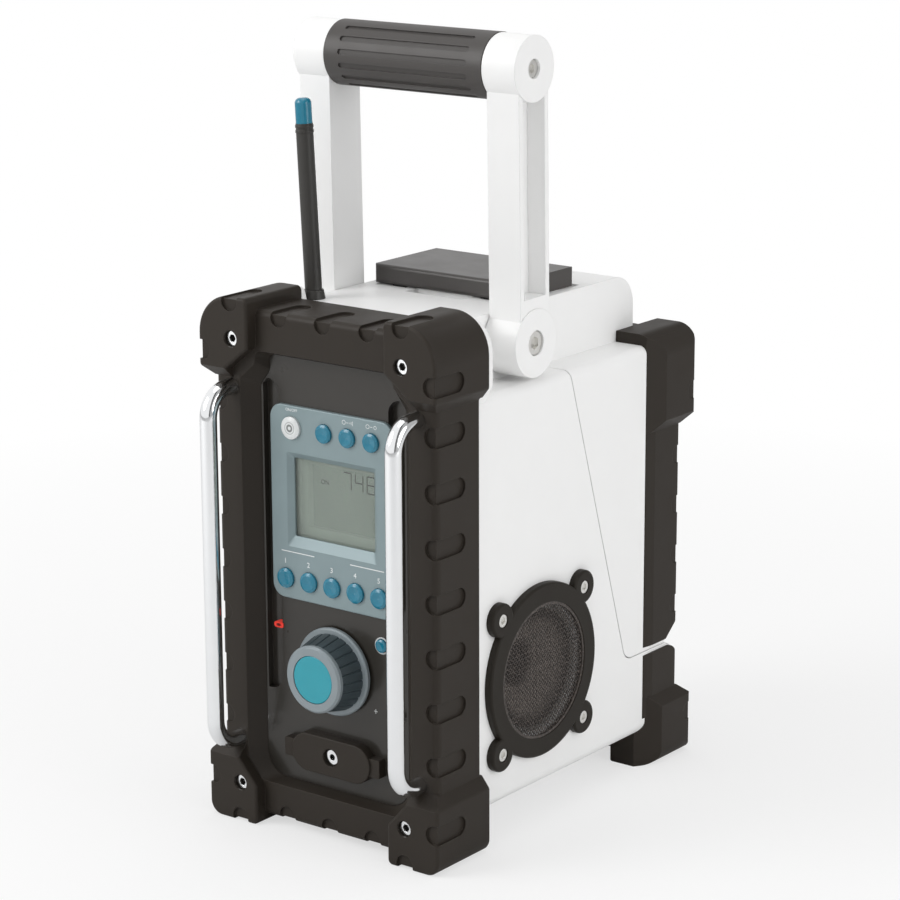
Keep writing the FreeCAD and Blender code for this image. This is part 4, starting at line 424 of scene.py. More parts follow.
def soft_rubber(name, colour, roughness):
    """Soft matt elastomer with a dull highlight painted lighter on its edges."""
    return moulded(name, colour, roughness, grain=0.6 * MM, depth=0.015 * MM, ease=0.5 * MM, edge_highlight=1.5,
                   **{"Specular IOR Level": 0.45}).material


def speaker_plastic():
    """Matt dark frame of a speaker."""
    return moulded("speaker_plastic", colours().speaker, 0.48, grain=0.6 * MM, depth=0.012 * MM,
                   ease=0.6 * MM, edge_highlight=1.5, **{"Specular IOR Level": 0.2}).material


def woven_paint():
    """Dark paint on wire, rubbed paler in small patches."""
    finish = Finish("woven_paint", colours().mesh, 0.42)
    rubbed = finish.ramp(finish.noise(1.2 * MM, 2.0), ((0.45, 0.0), (0.7, 1.0)))
    finish.set("Base Color", finish.blend(rubbed, colours().mesh, scaled(colours().mesh, 3.2)))
    finish.set("Roughness", 0.5 - rubbed * 0.12)
    return finish.material


CHROME = (0.86, 0.87, 0.88)
SOCKET_SHADOW = (0.05, 0.048, 0.045)


def polished(name, tint, roughness, ease):
    """Bright metal with faint handling haze and long polishing lines."""
    finish = Finish(name, tint, roughness, Metallic=1.0)
    haze = finish.noise(9.0 * MM, 3.0)
    lines = finish.noise(0.5 * MM, 2.0, (1.0, 1.0, 0.04))
    finish.set("Base Color", finish.blend(haze, scaled(tint, 0.95), tint))
    finish.set("Roughness", haze * 0.05 + lines * 0.04 + roughness)
    finish.bump(lines, 0.0015 * MM, finish.eased(ease))
    return finish


def chrome_plate():
    return polished("chrome_plate", CHROME, 0.04, 0.3 * MM).material


def socket_chrome():
    """Chrome whose hollow, deeper than its front face, lies in shadow."""
    finish = polished("socket_chrome", CHROME, 0.08, 0.3 * MM)
    socket_deep = 2.0 * MM
    depth = finish.part("Y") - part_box("frame_screws")[0].y
    hollow = finish.ramp(depth * (1.0 / socket_deep), ((0.0, 0.0), (0.35, 0.0), (0.7, 1.0)))
    finish.set("Base Color", finish.blend(hollow, CHROME, SOCKET_SHADOW))
    return finish.material


def screw_steel():
    return polished("screw_steel", (0.84, 0.83, 0.80), 0.24, 0.3 * MM).material


def bare_steel():
    return polished("bare_steel", (0.50, 0.50, 0.49), 0.32, 0.2 * MM).material


def display_glass():
    """The display's own face: flat grey-green with a soft shade down one edge and faint rows."""
    finish = Finish("display_glass", colours().display, 0.25)
    low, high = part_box("lcd_module")
    across = (finish.part("X") - low.x) * (1.0 / (high.x - low.x))
    shade = finish.ramp(across, ((0.0, 0.45), (0.06, 0.9), (0.2, 1.0)))
    rows = finish.noise(0.5 * MM, 1.0, (0.2, 1.0, 1.0)) * 0.06 + 0.96
    dark = scaled(colours().display, 0.35)
    finish.set("Base Color", finish.blend(shade * rows, dark, colours().display))
    finish.set("Roughness", rows * 0.3)
    return finish.material


def clear_window():
    """Thin clear plastic, seen mostly by its reflections."""
    finish = Finish("clear_window", (0.9, 0.95, 0.93), 0.03, **{"Specular IOR Level": 0.5})
    film = finish.noise(30.0 * MM, 2.0)
    finish.set("Roughness", film * 0.05 + 0.02)
    finish.set("Alpha", film * 0.02 + 0.07)
    return finish.material


def red_window():
    """Red light pipe, an oval ring of light round a darker middle."""
    finish = Finish("red_window", (0.50, 0.018, 0.012), 0.2, **{"Emission Strength": 0.35})
    low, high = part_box("indicator_lens")
    centre = middle("indicator_lens")
    across = (finish.part("X") - centre.x) * (2.0 / (high.x - low.x))
    upright = (finish.part("Z") - centre.z) * (2.0 / (high.z - low.z))
    reach = (across * across + upright * upright) ** 0.5
    ring = finish.ramp(reach, ((0.0, 0.0), (0.42, 0.0), (0.6, 1.0)))
    finish.set("Base Color", finish.blend(ring, (0.10, 0.006, 0.005), (0.62, 0.03, 0.02)))
    finish.set("Emission Color", finish.blend(ring, (0.06, 0.004, 0.003), (0.75, 0.05, 0.03)))
    return finish.material


def printed_ink(name, colour):
    finish = Finish(name, colour, 0.45)
    grain = finish.noise(0.4 * MM, 2.0)
    finish.set("Base Color", finish.blend(grain, scaled(colour, 0.93), scaled(colour, 1.05)))
    return finish.material


def board_mask():
    """Green solder mask with paler pads and tracks."""
    finish = Finish("board_mask", (0.012, 0.11, 0.035), 0.3)
    tracks = finish.noise(3.0 * MM, 0.0, (1.0, 1.0, 0.25))
    lines = finish.ramp(tracks, ((0.47, 0.0), (0.49, 1.0), (0.51, 1.0), (0.53, 0.0)))
    finish.set("Base Color", finish.blend(lines, (0.012, 0.11, 0.035), (0.05, 0.24, 0.08)))
    finish.set("Roughness", 0.34 - lines * 0.1)
    return finish.material


def paper_cone():
    """Pressed paper with fibres and pressed rings: a paler band painted as light on its flank, with
    painted shade in its middle and at its rim.
    """
    finish = Finish("paper_cone", (0.10, 0.088, 0.08), 0.7)
    fibres = finish.noise(0.8 * MM, 4.0)
    reach = finish.reach("Y", "Z", middle("speaker_cone_right"))
    rings = finish.maths("SINE", reach * (2.0 * math.pi / (2.4 * MM)), 0.0)
    # Painted light and shade: the paper shows only in a lit band on the flank; the middle and the rim are
    # painted dark as shade.
    painted_light_band = finish.ramp(reach * (1.0 / radius_of("speaker_cone_right")),
                        ((0.0, 0.0), (0.34, 0.0), (0.44, 1.0), (0.74, 1.0), (0.9, 0.0)))
    paper = finish.blend(fibres, (0.30, 0.26, 0.235), (0.46, 0.41, 0.375))
    finish.set("Base Color", finish.blend(painted_light_band, (0.025, 0.021, 0.018), paper))
    finish.bump(fibres * 0.3 + rings * 0.2, 0.08 * MM)
    return finish.material


def cast_metal():
    finish = Finish("cast_metal", (0.20, 0.20, 0.21), 0.5, Metallic=0.8)
    grain = finish.noise(1.2 * MM, 3.0)
    finish.set("Base Color", finish.blend(grain, (0.15, 0.15, 0.155), (0.26, 0.26, 0.27)))
    finish.bump(grain, 0.05 * MM, finish.eased(0.3 * MM))
    return finish.material


def plain_plastic():
    """Unpainted black plastic of hidden parts."""
    return moulded("plain_plastic", (0.022, 0.022, 0.022), 0.45, grain=0.8 * MM, depth=0.01 * MM,
                   ease=0.3 * MM, edge_highlight=1.6).material


# Mesh tools

def only(obj):
    """Selects one object alone and makes it active."""
    bpy.ops.object.select_all(action="DESELECT")
    obj.select_set(True)
    bpy.context.view_layer.objects.active = obj
    return obj


def begin():
    """Nothing is selected before a primitive is added."""
    bpy.ops.object.select_all(action="DESELECT")


def edit(obj):
    only(obj)
    bpy.ops.object.mode_set(mode="EDIT")


def leave():
    bpy.ops.object.mode_set(mode="OBJECT")


def pick(obj, kind, test):
    """In edit mode, selects the verts, edges or faces whose own place passes the test."""
    bpy.ops.mesh.select_mode(type=kind)
    bpy.ops.mesh.select_all(action="DESELECT")
    cage = bmesh.from_edit_mesh(obj.data)
    group = {"VERT": cage.verts, "EDGE": cage.edges, "FACE": cage.faces}[kind]
    for item in group:
        if test(item):
            item.select_set(True)
    cage.select_flush_mode()
    bmesh.update_edit_mesh(obj.data)


def twin(obj, name):
    """A copy with its own mesh."""
    copy = obj.copy()
    copy.data = obj.data.copy()
    copy.name = name
    bpy.context.collection.objects.link(copy)
    return copy


def placed(obj, matrix):
    """Moves the mesh itself, so that the object stays at the origin."""
    obj.data.transform(matrix @ obj.matrix_world)
    obj.matrix_world = Matrix.Identity(4)
    if matrix.determinant() < 0.0:
        obj.data.flip_normals()
    return obj


def joined(pieces, name):
    begin()
    for piece in pieces:
        piece.select_set(True)
    bpy.context.view_layer.objects.active = pieces[0]
    bpy.ops.object.join()
    whole = bpy.context.view_layer.objects.active
    whole.name = name
    whole.data.name = name
    return whole


def sound(obj):
    """Merges doubles and turns every face outwards."""
    edit(obj)
    bpy.ops.mesh.select_all(action="SELECT")
    bpy.ops.mesh.remove_doubles(threshold=TINY)
    bpy.ops.mesh.normals_make_consistent(inside=False)
    leave()
    return obj


def completed(obj, body, material, angle=30.0):
    """Applies place, finish, smoothing and body to a new piece."""
    only(obj)
    bpy.ops.object.transform_apply(location=True, rotation=True, scale=True)
    obj.data.materials.clear()
    obj.data.materials.append(material)
    bpy.ops.object.shade_smooth_by_angle(angle=math.radians(angle))
    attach(obj, body)
    return obj


def dress(material, *nodes):
    """Gives CAD nodes their finish."""
    for node in nodes:
        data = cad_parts[node].data
        data.materials.clear()
        data.materials.append(material)


FRONT = Matrix.Rotation(math.radians(90.0), 4, "X")
CAPITAL_SHARE = 0.70


def lettering(text, height, centre, thickness):
    """Generic marks cut as thin solids that stand on a plane facing -Y."""
    begin()
    bpy.ops.object.text_add(location=(0.0, 0.0, 0.0))
    obj = bpy.context.view_layer.objects.active
    obj.data.body = text
    obj.data.align_x = "CENTER"
    obj.data.align_y = "CENTER"
    obj.data.size = height / CAPITAL_SHARE
    obj.data.extrude = thickness / 2.0
    obj.data.resolution_u = 3
    only(obj)
    bpy.ops.object.convert(target="MESH")
    return placed(obj, Matrix.Translation(centre) @ FRONT)


def stroke(start, end, width, thickness, y):
    """A flat printed line between two points (x, z), with pointed ends."""
    begin()
    length = math.hypot(end[0] - start[0], end[1] - start[1])
    bpy.ops.mesh.primitive_circle_add(vertices=6, radius=width / 2.0, fill_type="NGON")
    obj = bpy.context.view_layer.objects.active
    edit(obj)
    bpy.ops.mesh.select_all(action="SELECT")
    bpy.ops.transform.rotate(value=math.radians(90.0), orient_axis="Z", center_override=(0.0, 0.0, 0.0))
    pick(obj, "VERT", lambda v: v.co.x > TINY)
    bpy.ops.transform.translate(value=(length - width, 0.0, 0.0))
    bpy.ops.mesh.select_all(action="SELECT")
    bpy.ops.mesh.extrude_region_move(TRANSFORM_OT_translate={"value": (0.0, 0.0, thickness)})
    leave()
    angle = math.atan2(end[1] - start[1], end[0] - start[0])
    inset = Matrix.Translation((width / 2.0, 0.0, 0.0))
    turn = Matrix.Rotation(angle, 4, "Z")
    spot = Matrix.Translation((start[0], y, start[1]))
    return placed(obj, spot @ FRONT @ turn @ inset)


# Speaker mesh

def wave_cell(pitch, radius):
    """One full wave of a wire along X, from crest to crest, with five rings of six points."""
    begin()
    bpy.ops.mesh.primitive_circle_add(vertices=6, radius=radius, fill_type="NOTHING",
                                      rotation=(0.0, math.radians(90.0), 0.0),
                                      location=(0.0, 0.0, radius))
    obj = bpy.context.view_layer.objects.active
    only(obj)
    bpy.ops.object.transform_apply(location=True, rotation=True, scale=True)
    edit(obj)
    bpy.ops.mesh.select_all(action="SELECT")
    rises = (-1.0, -1.0, 1.0, 1.0)
    for rise in rises:
        step = (pitch / 2.0, 0.0, rise * radius)
        bpy.ops.mesh.extrude_region_move(TRANSFORM_OT_translate={"value": step})
    leave()
    return obj


def wire(cell, name, pitch, offset, chord, lifted):
    """One wire of the mesh, its waves in step with its neighbours, cut off at the rim."""
    obj = twin(cell, name)
    wave = 2.0 * pitch
    count = int(math.ceil(chord / wave)) + 1
    only(obj)
    array = obj.modifiers.new("waves", "ARRAY")
    array.use_relative_offset = False
    array.use_constant_offset = True
    array.constant_offset_displace = (wave, 0.0, 0.0)
    array.count = count
    array.use_merge_vertices = True
    array.merge_threshold = TINY * 10.0
    bpy.ops.object.modifier_apply(modifier=array.name)
    start = -math.floor(count / 2.0) * wave + (pitch if lifted else 0.0)
    placed(obj, Matrix.Translation((start, offset, 0.0)))
    edit(obj)
    for side in (-1.0, 1.0):
        bpy.ops.mesh.select_all(action="SELECT")
        bpy.ops.mesh.bisect(plane_co=(side * chord / 2.0, 0.0, 0.0), plane_no=(side, 0.0, 0.0),
                            use_fill=True, clear_outer=True)
    leave()
    return obj


def woven_disc(name, radius, pitch, wire_radius):
    """Two layers of crossing wires inside a circle, drawn flat about the origin."""
    cell = wave_cell(pitch, wire_radius)
    count = int(radius / pitch)
    wires = []
    for layer in (0, 1):
        for i in range(-count, count + 1):
            offset = i * pitch
            chord = 2.0 * math.sqrt(max(radius * radius - offset * offset, 0.0))
            if chord < 4.0 * pitch:
                continue
            lifted = (i + layer) % 2 == 1
            one = wire(cell, "wire", pitch, offset, chord, lifted)
            if layer == 1:
                placed(one, Matrix.Rotation(math.radians(90.0), 4, "Z"))
            wires.append(one)
    bpy.data.objects.remove(cell)
    return joined(wires, name)


def mesh_rim(radius, wide, deep):
    """A round band, open at its back: outer wall, face and inner wall."""
    begin()
    bpy.ops.mesh.primitive_circle_add(vertices=96, radius=radius, fill_type="NOTHING")
    obj = bpy.context.view_layer.objects.active
    edit(obj)
    bpy.ops.mesh.select_all(action="SELECT")
    bpy.ops.mesh.extrude_region_move(TRANSFORM_OT_translate={"value": (0.0, 0.0, deep)})
    inner = (radius - wide) / radius
    bpy.ops.mesh.extrude_region_move()
    bpy.ops.transform.resize(value=(inner, inner, 1.0), center_override=(0.0, 0.0, 0.0))
    bpy.ops.mesh.extrude_region_move(TRANSFORM_OT_translate={"value": (0.0, 0.0, -deep)})
    leave()
    return sound(obj)


class RADIO_OT_woven_grilles(bpy.types.Operator):
    """Woven wire mesh in front of each speaker, on the diagonal"""
    bl_idname = "radio.woven_grilles"
    bl_label = "Woven speaker mesh"

    def execute(self, context):
        radius = radius_of("speaker_grille_right")
        pitch = sizes().weave_pitch
        wire_radius = sizes().wire_radius
        flat = woven_disc("woven_grille_right", radius - 0.3 * MM, pitch, wire_radius)
        rim = mesh_rim(radius - 0.05 * MM, 1.6 * MM, 1.0 * MM)
        whole = joined([flat, rim], "woven_grille_right")
        centre = middle("speaker_grille_right")
        diagonal = Matrix.Rotation(math.radians(45.0), 4, "Z")
        outward = Matrix.Rotation(math.radians(90.0), 4, "Y")
        placed(whole, Matrix.Translation(centre) @ outward @ diagonal)
        other = twin(whole, "woven_grille_left")
        placed(other, Matrix.Scale(-1.0, 4, (1.0, 0.0, 0.0)))
        paint = woven_paint()
        for piece, node in ((whole, "speaker_grille_right"), (other, "speaker_grille_left")):
            completed(piece, "radio", paint, 60.0)
            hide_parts(node)
        return {"FINISHED"}


# Display

SEGMENTS = {
    # Each segment runs between two corners of a digit, in (column, row) with rows 0, 1 and 2.
    "top": ((0, 2), (1, 2)),
    "upper_left": ((0, 1), (0, 2)),
    "upper_right": ((1, 1), (1, 2)),
    "middle": ((0, 1), (1, 1)),
    "lower_left": ((0, 0), (0, 1)),
    "lower_right": ((1, 0), (1, 1)),
    "bottom": ((0, 0), (1, 0)),
}
LIT = {
    "1": ("upper_right", "lower_right"),
    "4": ("upper_left", "upper_right", "middle", "lower_right"),
    "7": ("top", "upper_right", "lower_right"),
    "8": tuple(SEGMENTS),
}


def digit(character, left, foot, y):
    """One seven-segment digit whose lower left corner is at (left, foot)."""
    wide = sizes().digit_width
    high = sizes().digit_height
    width = sizes().digit_stroke
    gap = width * 0.18
    strokes = []
    for name in LIT[character]:
        (column0, row0), (column1, row1) = SEGMENTS[name]
        start = Vector((left + column0 * wide, foot + row0 * high / 2.0))
        end = Vector((left + column1 * wide, foot + row1 * high / 2.0))
        along = (end - start).normalized() * gap
        strokes.append(stroke(start + along, end - along, width, sizes().ink, y))
    return strokes


SMALL_MARK_HIGH = 2.6 * MM
SMALL_MARK_X = -8.2 * MM
SMALL_MARK_Z = 202.4 * MM


class RADIO_OT_display(bpy.types.Operator):
    """The display: its grey-green face, a few generic digits and the clear window"""
    bl_idname = "radio.display"
    bl_label = "Display"

    reading: bpy.props.StringProperty(
        name="Reading", description="Digits that the display shows", default="748")
    first_left: bpy.props.FloatProperty(
        name="First digit", description="X of the first digit's left edge",
        default=4.9 * MM, subtype="DISTANCE", unit="LENGTH")
    step: bpy.props.FloatProperty(
        name="Digit step", description="Distance from digit to digit",
        default=8.1 * MM, subtype="DISTANCE", unit="LENGTH")
    foot: bpy.props.FloatProperty(
        name="Foot", description="Z of the digits' lower edge",
        default=200.9 * MM, subtype="DISTANCE", unit="LENGTH")

    def execute(self, context):
        dress(display_glass(), "lcd_module")
        dress(clear_window(), "lcd_lens")
        dress(red_window(), "indicator_lens")
        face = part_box("lcd_module")[0].y
        strokes = []
        for i, character in enumerate(self.reading):
            strokes += digit(character, self.first_left + i * self.step, self.foot, face)
        small = lettering("ON", SMALL_MARK_HIGH, (SMALL_MARK_X, face, SMALL_MARK_Z), sizes().ink)
        whole = sound(joined(strokes + [small], "display_digits"))
        ink = printed_ink("display_ink", colours().segment)
        completed(whole, "radio", ink)
        return {"FINISHED"}


# Printed marks and trim of the front

LINE_WIDE = 0.55 * MM
NUMBER_SHIFT = 0.5 * MM
POWER_MARK_HIGH = 1.6 * MM
POWER_MARK_LIFT = 9.8 * MM
PLUS_X = 27.6 * MM
PLUS_Z = 79.4 * MM
SIGN_ARM = 1.3 * MM
SIGN_WIDE = 0.45 * MM
SCAN_RING_R = 4.8 * MM
SCAN_RING_WIDE = 0.8 * MM
SCAN_RING_HIGH = 0.35 * MM
ALARM_LIFT = 8.5 * MM
ALARM_WIDE = 0.34 * MM
CLOCK_SHIFT = 2.4 * MM
CLOCK_R = 1.15 * MM
BELL_SHIFT = 2.7 * MM
BELL_R = 0.95 * MM


class RADIO_OT_legends(bpy.types.Operator):
    """White marks on the bezel and the fascia, and the pale ring round the scan button"""
    bl_idname = "radio.legends"
    bl_label = "Legends"

    lift: bpy.props.FloatProperty(
        name="Number lift", description="From a preset button's centre to its number",
        default=9.6 * MM, subtype="DISTANCE", unit="LENGTH")
    line_z: bpy.props.FloatProperty(
        name="Line height", description="Z of the two lines under the display",
        default=160.7 * MM, subtype="DISTANCE", unit="LENGTH")
    line_outer: bpy.props.FloatProperty(
        name="Line end", description="X of each line's outer end",
        default=36.0 * MM, subtype="DISTANCE", unit="LENGTH")
    line_inner: bpy.props.FloatProperty(
        name="Line start", description="X of each line's inner end",
        default=12.5 * MM, subtype="DISTANCE", unit="LENGTH")

    def execute(self, context):
        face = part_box("display_bezel")[0].y
        ink = sizes().ink
        marks = []
        for i in range(1, 6):
            centre = middle("preset_%d_button" % i)
            spot = (centre.x - NUMBER_SHIFT, face, centre.z + self.lift)
            marks.append(lettering(str(i), sizes().number_height, spot, ink))
        for side in (-1.0, 1.0):
            ends = sorted((side * self.line_inner, side * self.line_outer))
            marks.append(stroke((ends[0], self.line_z), (ends[1], self.line_z), LINE_WIDE, ink, face))
        power = middle("power_button")
        marks.append(lettering("ON/OFF", POWER_MARK_HIGH, (power.x, face, power.z + POWER_MARK_LIFT), ink))
        marks += self.alarm_marks(face, ink)
        white = printed_ink("legend_ink", colours().legend)
        completed(sound(joined(marks, "bezel_legends")), "radio", white)

        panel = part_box("front_panel")[0].y
        knob = middle("knob_body")
        plus = Vector((PLUS_X, PLUS_Z))
        minus = Vector((2.0 * knob.x - plus.x, plus.y))
        level = Vector((SIGN_ARM, 0.0))
        upright = Vector((0.0, SIGN_ARM))
        signs = []
        for centre, arm in ((plus, level), (plus, upright), (minus, level)):
            signs.append(stroke(centre - arm, centre + arm, SIGN_WIDE, ink, panel))
        completed(sound(joined(signs, "fascia_legends")), "radio", white)
        self.scan_trim(panel)
        return {"FINISHED"}

    def scan_trim(self, panel):
        """The pale ring round the scan button."""
        ring = mesh_rim(SCAN_RING_R, SCAN_RING_WIDE, SCAN_RING_HIGH)
        ring.name = "scan_ring"
        centre = middle("scan_button")
        placed(ring, Matrix.Translation((centre.x, panel, centre.z)) @ FRONT)
        completed(ring, "radio", silver_ring())

    def alarm_marks(self, face, ink):
        """A small ring over each of the two alarm buttons, with bars or a second ring beside it."""
        marks = []
        for name, sounding in (("radio_alarm_button", True), ("buzzer_alarm_button", False)):
            centre = middle(name)
            z = centre.z + ALARM_LIFT
            marks += self.circle((centre.x - CLOCK_SHIFT, z), CLOCK_R, face, ink)
            marks.append(stroke((centre.x - 0.7 * MM, z), (centre.x + 0.9 * MM, z), ALARM_WIDE, ink, face))
            if sounding:
                for bar in range(3):
                    x = centre.x + (1.8 + 0.9 * bar) * MM
                    half = (0.5 + 0.4 * bar) * MM
                    marks.append(stroke((x, z - half), (x, z + half), ALARM_WIDE, ink, face))
            else:
                marks += self.circle((centre.x + BELL_SHIFT, z), BELL_R, face, ink)
        return marks

    def circle(self, centre, radius, face, ink):
        """A printed ring made of short strokes."""
        sides = 10
        points = []
        for i in range(sides + 1):
            turn = 2.0 * math.pi * i / sides
            points.append((centre[0] + radius * math.cos(turn), centre[1] + radius * math.sin(turn)))
        return [stroke(points[i], points[i + 1], ALARM_WIDE, ink, face) for i in range(sides)]


# Finishes of the pieces that the frame already shapes

class RADIO_OT_shells(bpy.types.Operator):
    """White housing, rear cover and handle arms"""
    bl_idname = "radio.shells"
    bl_label = "White shells"

    def execute(self, context):
        dress(shell_plastic(), "front_housing", "rear_cover", "handle_arm_left", "handle_arm_right")
        return {"FINISHED"}


class RADIO_OT_bumpers(bpy.types.Operator):
    """Front and rear bumpers and the boss of the auxiliary input"""
    bl_idname = "radio.bumpers"
    bl_label = "Bumpers"

    def execute(self, context):
        dress(bumper_rubber(), "front_bumper", "rear_lower_bumper", "rear_cover_bumper", "aux_boss")
        return {"FINISHED"}


class RADIO_OT_panel(bpy.types.Operator):
    """Fascia, bezel and the push buttons"""
    bl_idname = "radio.panel"
    bl_label = "Front panel"

    def execute(self, context):
        dress(fascia_gloss(), "front_panel")
        dress(bezel_paint(), "display_bezel")
        presets = ["preset_%d_button" % i for i in range(1, 6)]
        dress(teal_plastic("button_teal", colours().teal), "band_button", "radio_alarm_button",
              "buzzer_alarm_button", "scan_button", *presets)
        dress(silver_plastic(), "power_button")
        return {"FINISHED"}


class RADIO_OT_knob(bpy.types.Operator):
    """Tuning knob with its fluted skirt and coloured cap"""
    bl_idname = "radio.knob"
    bl_label = "Tuning knob"

    def execute(self, context):
        dress(knob_plastic(), "knob_body")
        dress(skirt_rubber(), "knob_skirt")
        dress(teal_plastic("cap_teal", colours().cap), "knob_cap")
        return {"FINISHED"}


class RADIO_OT_metalwork(bpy.types.Operator):
    """Guard bars, screws, pins and the auxiliary socket"""
    bl_idname = "radio.metalwork"
    bl_label = "Metalwork"

    def execute(self, context):
        dress(chrome_plate(), "guard_bar_left", "guard_bar_right", "aux_jack")
        dress(socket_chrome(), "frame_screws")
        dress(screw_steel(), "speaker_screws_left", "speaker_screws_right", "handle_pivot_screws",
              "handle_grip_screws")
        dress(bare_steel(), "cover_hinge_pin", "latch_pin", "encoder_shaft", "speaker_basket_left",
              "speaker_basket_right")
        return {"FINISHED"}


class RADIO_OT_speakers(bpy.types.Operator):
    """Speaker rings, cones and magnets"""
    bl_idname = "radio.speakers"
    bl_label = "Speakers"

    def execute(self, context):
        dress(speaker_plastic(), "speaker_ring_left", "speaker_ring_right")
        dress(paper_cone(), "speaker_cone_left", "speaker_cone_right")
        dress(cast_metal(), "speaker_magnet_left", "speaker_magnet_right")
        return {"FINISHED"}


class RADIO_OT_soft_parts(bpy.types.Operator):
    """Grip, latch lever and antenna"""
    bl_idname = "radio.soft_parts"
    bl_label = "Grip, latch and antenna"

    def execute(self, context):
        dress(soft_rubber("grip_rubber", colours().grip, 0.48), "handle_grip", "handle_crossbar")
        dress(soft_rubber("latch_plastic", colours().grip, 0.36), "latch_lever")
        dress(soft_rubber("antenna_rubber", colours().antenna, 0.42), "antenna_rod", "antenna_base")
        dress(teal_plastic("tip_teal", colours().teal), "antenna_tip")
        return {"FINISHED"}


class RADIO_OT_inner_parts(bpy.types.Operator):
    """Circuit board, switches, encoder, battery mount and supply socket"""
    bl_idname = "radio.inner_parts"
    bl_label = "Inner parts"

    def execute(self, context):
        dress(board_mask(), "main_board")
        dress(plain_plastic(), "tact_switches", "encoder_housing", "encoder_slider", "battery_mount",
              "dc_socket")
        return {"FINISHED"}


# Studio

# Each soft light: its name and power's name, its width and its place.
LIGHTS = (
    ("key", 1.1, (-0.95, -1.25, 1.15)),
    ("side", 1.2, (1.75, 0.05, 0.75)),
    ("top", 1.4, (0.0, 0.1, 1.9)),
)
# What metal mirrors from the camera's left to its right: white, a narrow dark band, then grey.
MIRRORED = ((0.0, 1.0), (0.55, 1.0), (0.60, 0.05), (0.66, 0.05), (0.71, 0.45), (1.0, 0.5))


class RADIO_OT_studio(bpy.types.Operator):
    """Plain pale floor, white room, soft lights and the camera at the photograph's angle"""
    bl_idname = "radio.studio"
    bl_label = "Studio"

    floor_half: bpy.props.FloatProperty(
        name="Floor half width", description="Half the side of the floor",
        default=4.0, min=1.0, max=20.0, subtype="DISTANCE", unit="LENGTH")

    def execute(self, context):
        self.floor()
        self.room()
        for name, width, spot in LIGHTS:
            self.lamp(name + "_light", getattr(stage_values(), name), width, spot)
        self.camera()
        return {"FINISHED"}

    def floor(self):
        begin()
        bpy.ops.mesh.primitive_plane_add(size=2.0 * self.floor_half, location=(0.0, 0.0, 0.0))
        floor = bpy.context.view_layer.objects.active
        floor.name = "studio_floor"
        finish = Finish("studio_floor", (0.92, 0.92, 0.92), 0.9, **{"Specular IOR Level": 0.0})
        path = finish.value(finish.node("ShaderNodeLightPath", {}, {}), "Is Camera Ray")
        length = finish.node("ShaderNodeVectorMath", {"operation": "LENGTH"}, {0: finish.place})
        away = finish.ramp(finish.value(length, "Value"), ((0.25, 0.62), (0.9, 1.0)))
        glow = finish.node("ShaderNodeEmission", {}, {"Color": (1.0, 1.0, 1.0, 1.0), "Strength": 1.0})
        mix = finish.node("ShaderNodeMixShader", {}, {
            0: path * away,
            1: finish.value(finish.shader, "BSDF"),
            2: finish.value(glow, "Emission"),
        })
        output = finish.tree.nodes["Material Output"]
        finish.tree.links.new(mix.outputs[0], output.inputs["Surface"])
        floor.data.materials.append(finish.material)

    def room(self):
        world = bpy.data.worlds.new("studio_room")
        bpy.context.scene.world = world
        world.use_nodes = True
        tree = world.node_tree
        tree.nodes.clear()
        path = tree.nodes.new("ShaderNodeLightPath")
        seen = None
        for kind in ("Is Camera Ray", "Is Glossy Ray", "Is Transmission Ray"):
            if seen is None:
                seen = path.outputs[kind]
                continue
            both = tree.nodes.new("ShaderNodeMath")
            both.operation = "MAXIMUM"
            tree.links.new(seen, both.inputs[0])
            tree.links.new(path.outputs[kind], both.inputs[1])
            seen = both.outputs[0]
        mix = tree.nodes.new("ShaderNodeMixShader")
        tree.links.new(seen, mix.inputs[0])
        for socket, strength in ((1, stage_values().ambient), (2, 1.0)):
            light = tree.nodes.new("ShaderNodeBackground")
            light.inputs["Color"].default_value = (1.0, 1.0, 1.0, 1.0)
            light.inputs["Strength"].default_value = strength
            tree.links.new(light.outputs[0], mix.inputs[socket])
        self.flags(tree, path.outputs["Is Glossy Ray"], light.inputs["Color"])
        output = tree.nodes.new("ShaderNodeOutputWorld")
        tree.links.new(mix.outputs[0], output.inputs["Surface"])

    def flags(self, tree, glossy, colour):
        """Colours what glossy rays see of the room by its side of the camera's first place."""
        place = tree.nodes.new("ShaderNodeTexCoord")
        azimuth = stage_values().azimuth
        side = tree.nodes.new("ShaderNodeVectorMath")
        side.operation = "DOT_PRODUCT"
        side.inputs[1].default_value = (math.cos(azimuth), math.sin(azimuth), 0.0)
        tree.links.new(place.outputs["Generated"], side.inputs[0])
        share = tree.nodes.new("ShaderNodeMapRange")
        share.inputs["From Min"].default_value = -1.0
        tree.links.new(side.outputs["Value"], share.inputs["Value"])
        ramp = tree.nodes.new("ShaderNodeValToRGB")
        set_stops(ramp.color_ramp, MIRRORED)
        tree.links.new(share.outputs["Result"], ramp.inputs["Fac"])
        blend = tree.nodes.new("ShaderNodeMix")
        blend.data_type = "RGBA"
        blend.inputs[6].default_value = (1.0, 1.0, 1.0, 1.0)
        tree.links.new(glossy, blend.inputs[0])
        tree.links.new(ramp.outputs["Color"], blend.inputs[7])
        tree.links.new(blend.outputs[2], colour)

    def lamp(self, name, power, size, spot):
        data = bpy.data.lights.new(name, "AREA")
        data.energy = power
        data.shape = "DISK"
        data.size = size
        lamp = bpy.data.objects.new(name, data)
        bpy.context.collection.objects.link(lamp)
        lamp.location = spot
        aim = (cad_box[0] + cad_box[1]) / 2.0 - Vector(spot)
        lamp.rotation_euler = aim.to_track_quat("-Z", "Y").to_euler()

    def camera(self):
        values = stage_values()
        azimuth = values.azimuth
        rise = values.elevation
        level = Vector((math.sin(azimuth), -math.cos(azimuth), 0.0))
        back = level * math.cos(rise) + Vector((0.0, 0.0, math.sin(rise)))
        right = Vector((math.cos(azimuth), math.sin(azimuth), 0.0))
        upward = back.cross(right)
        rolled_right = right * math.cos(values.roll) + upward * math.sin(values.roll)
        rolled_up = upward * math.cos(values.roll) - right * math.sin(values.roll)
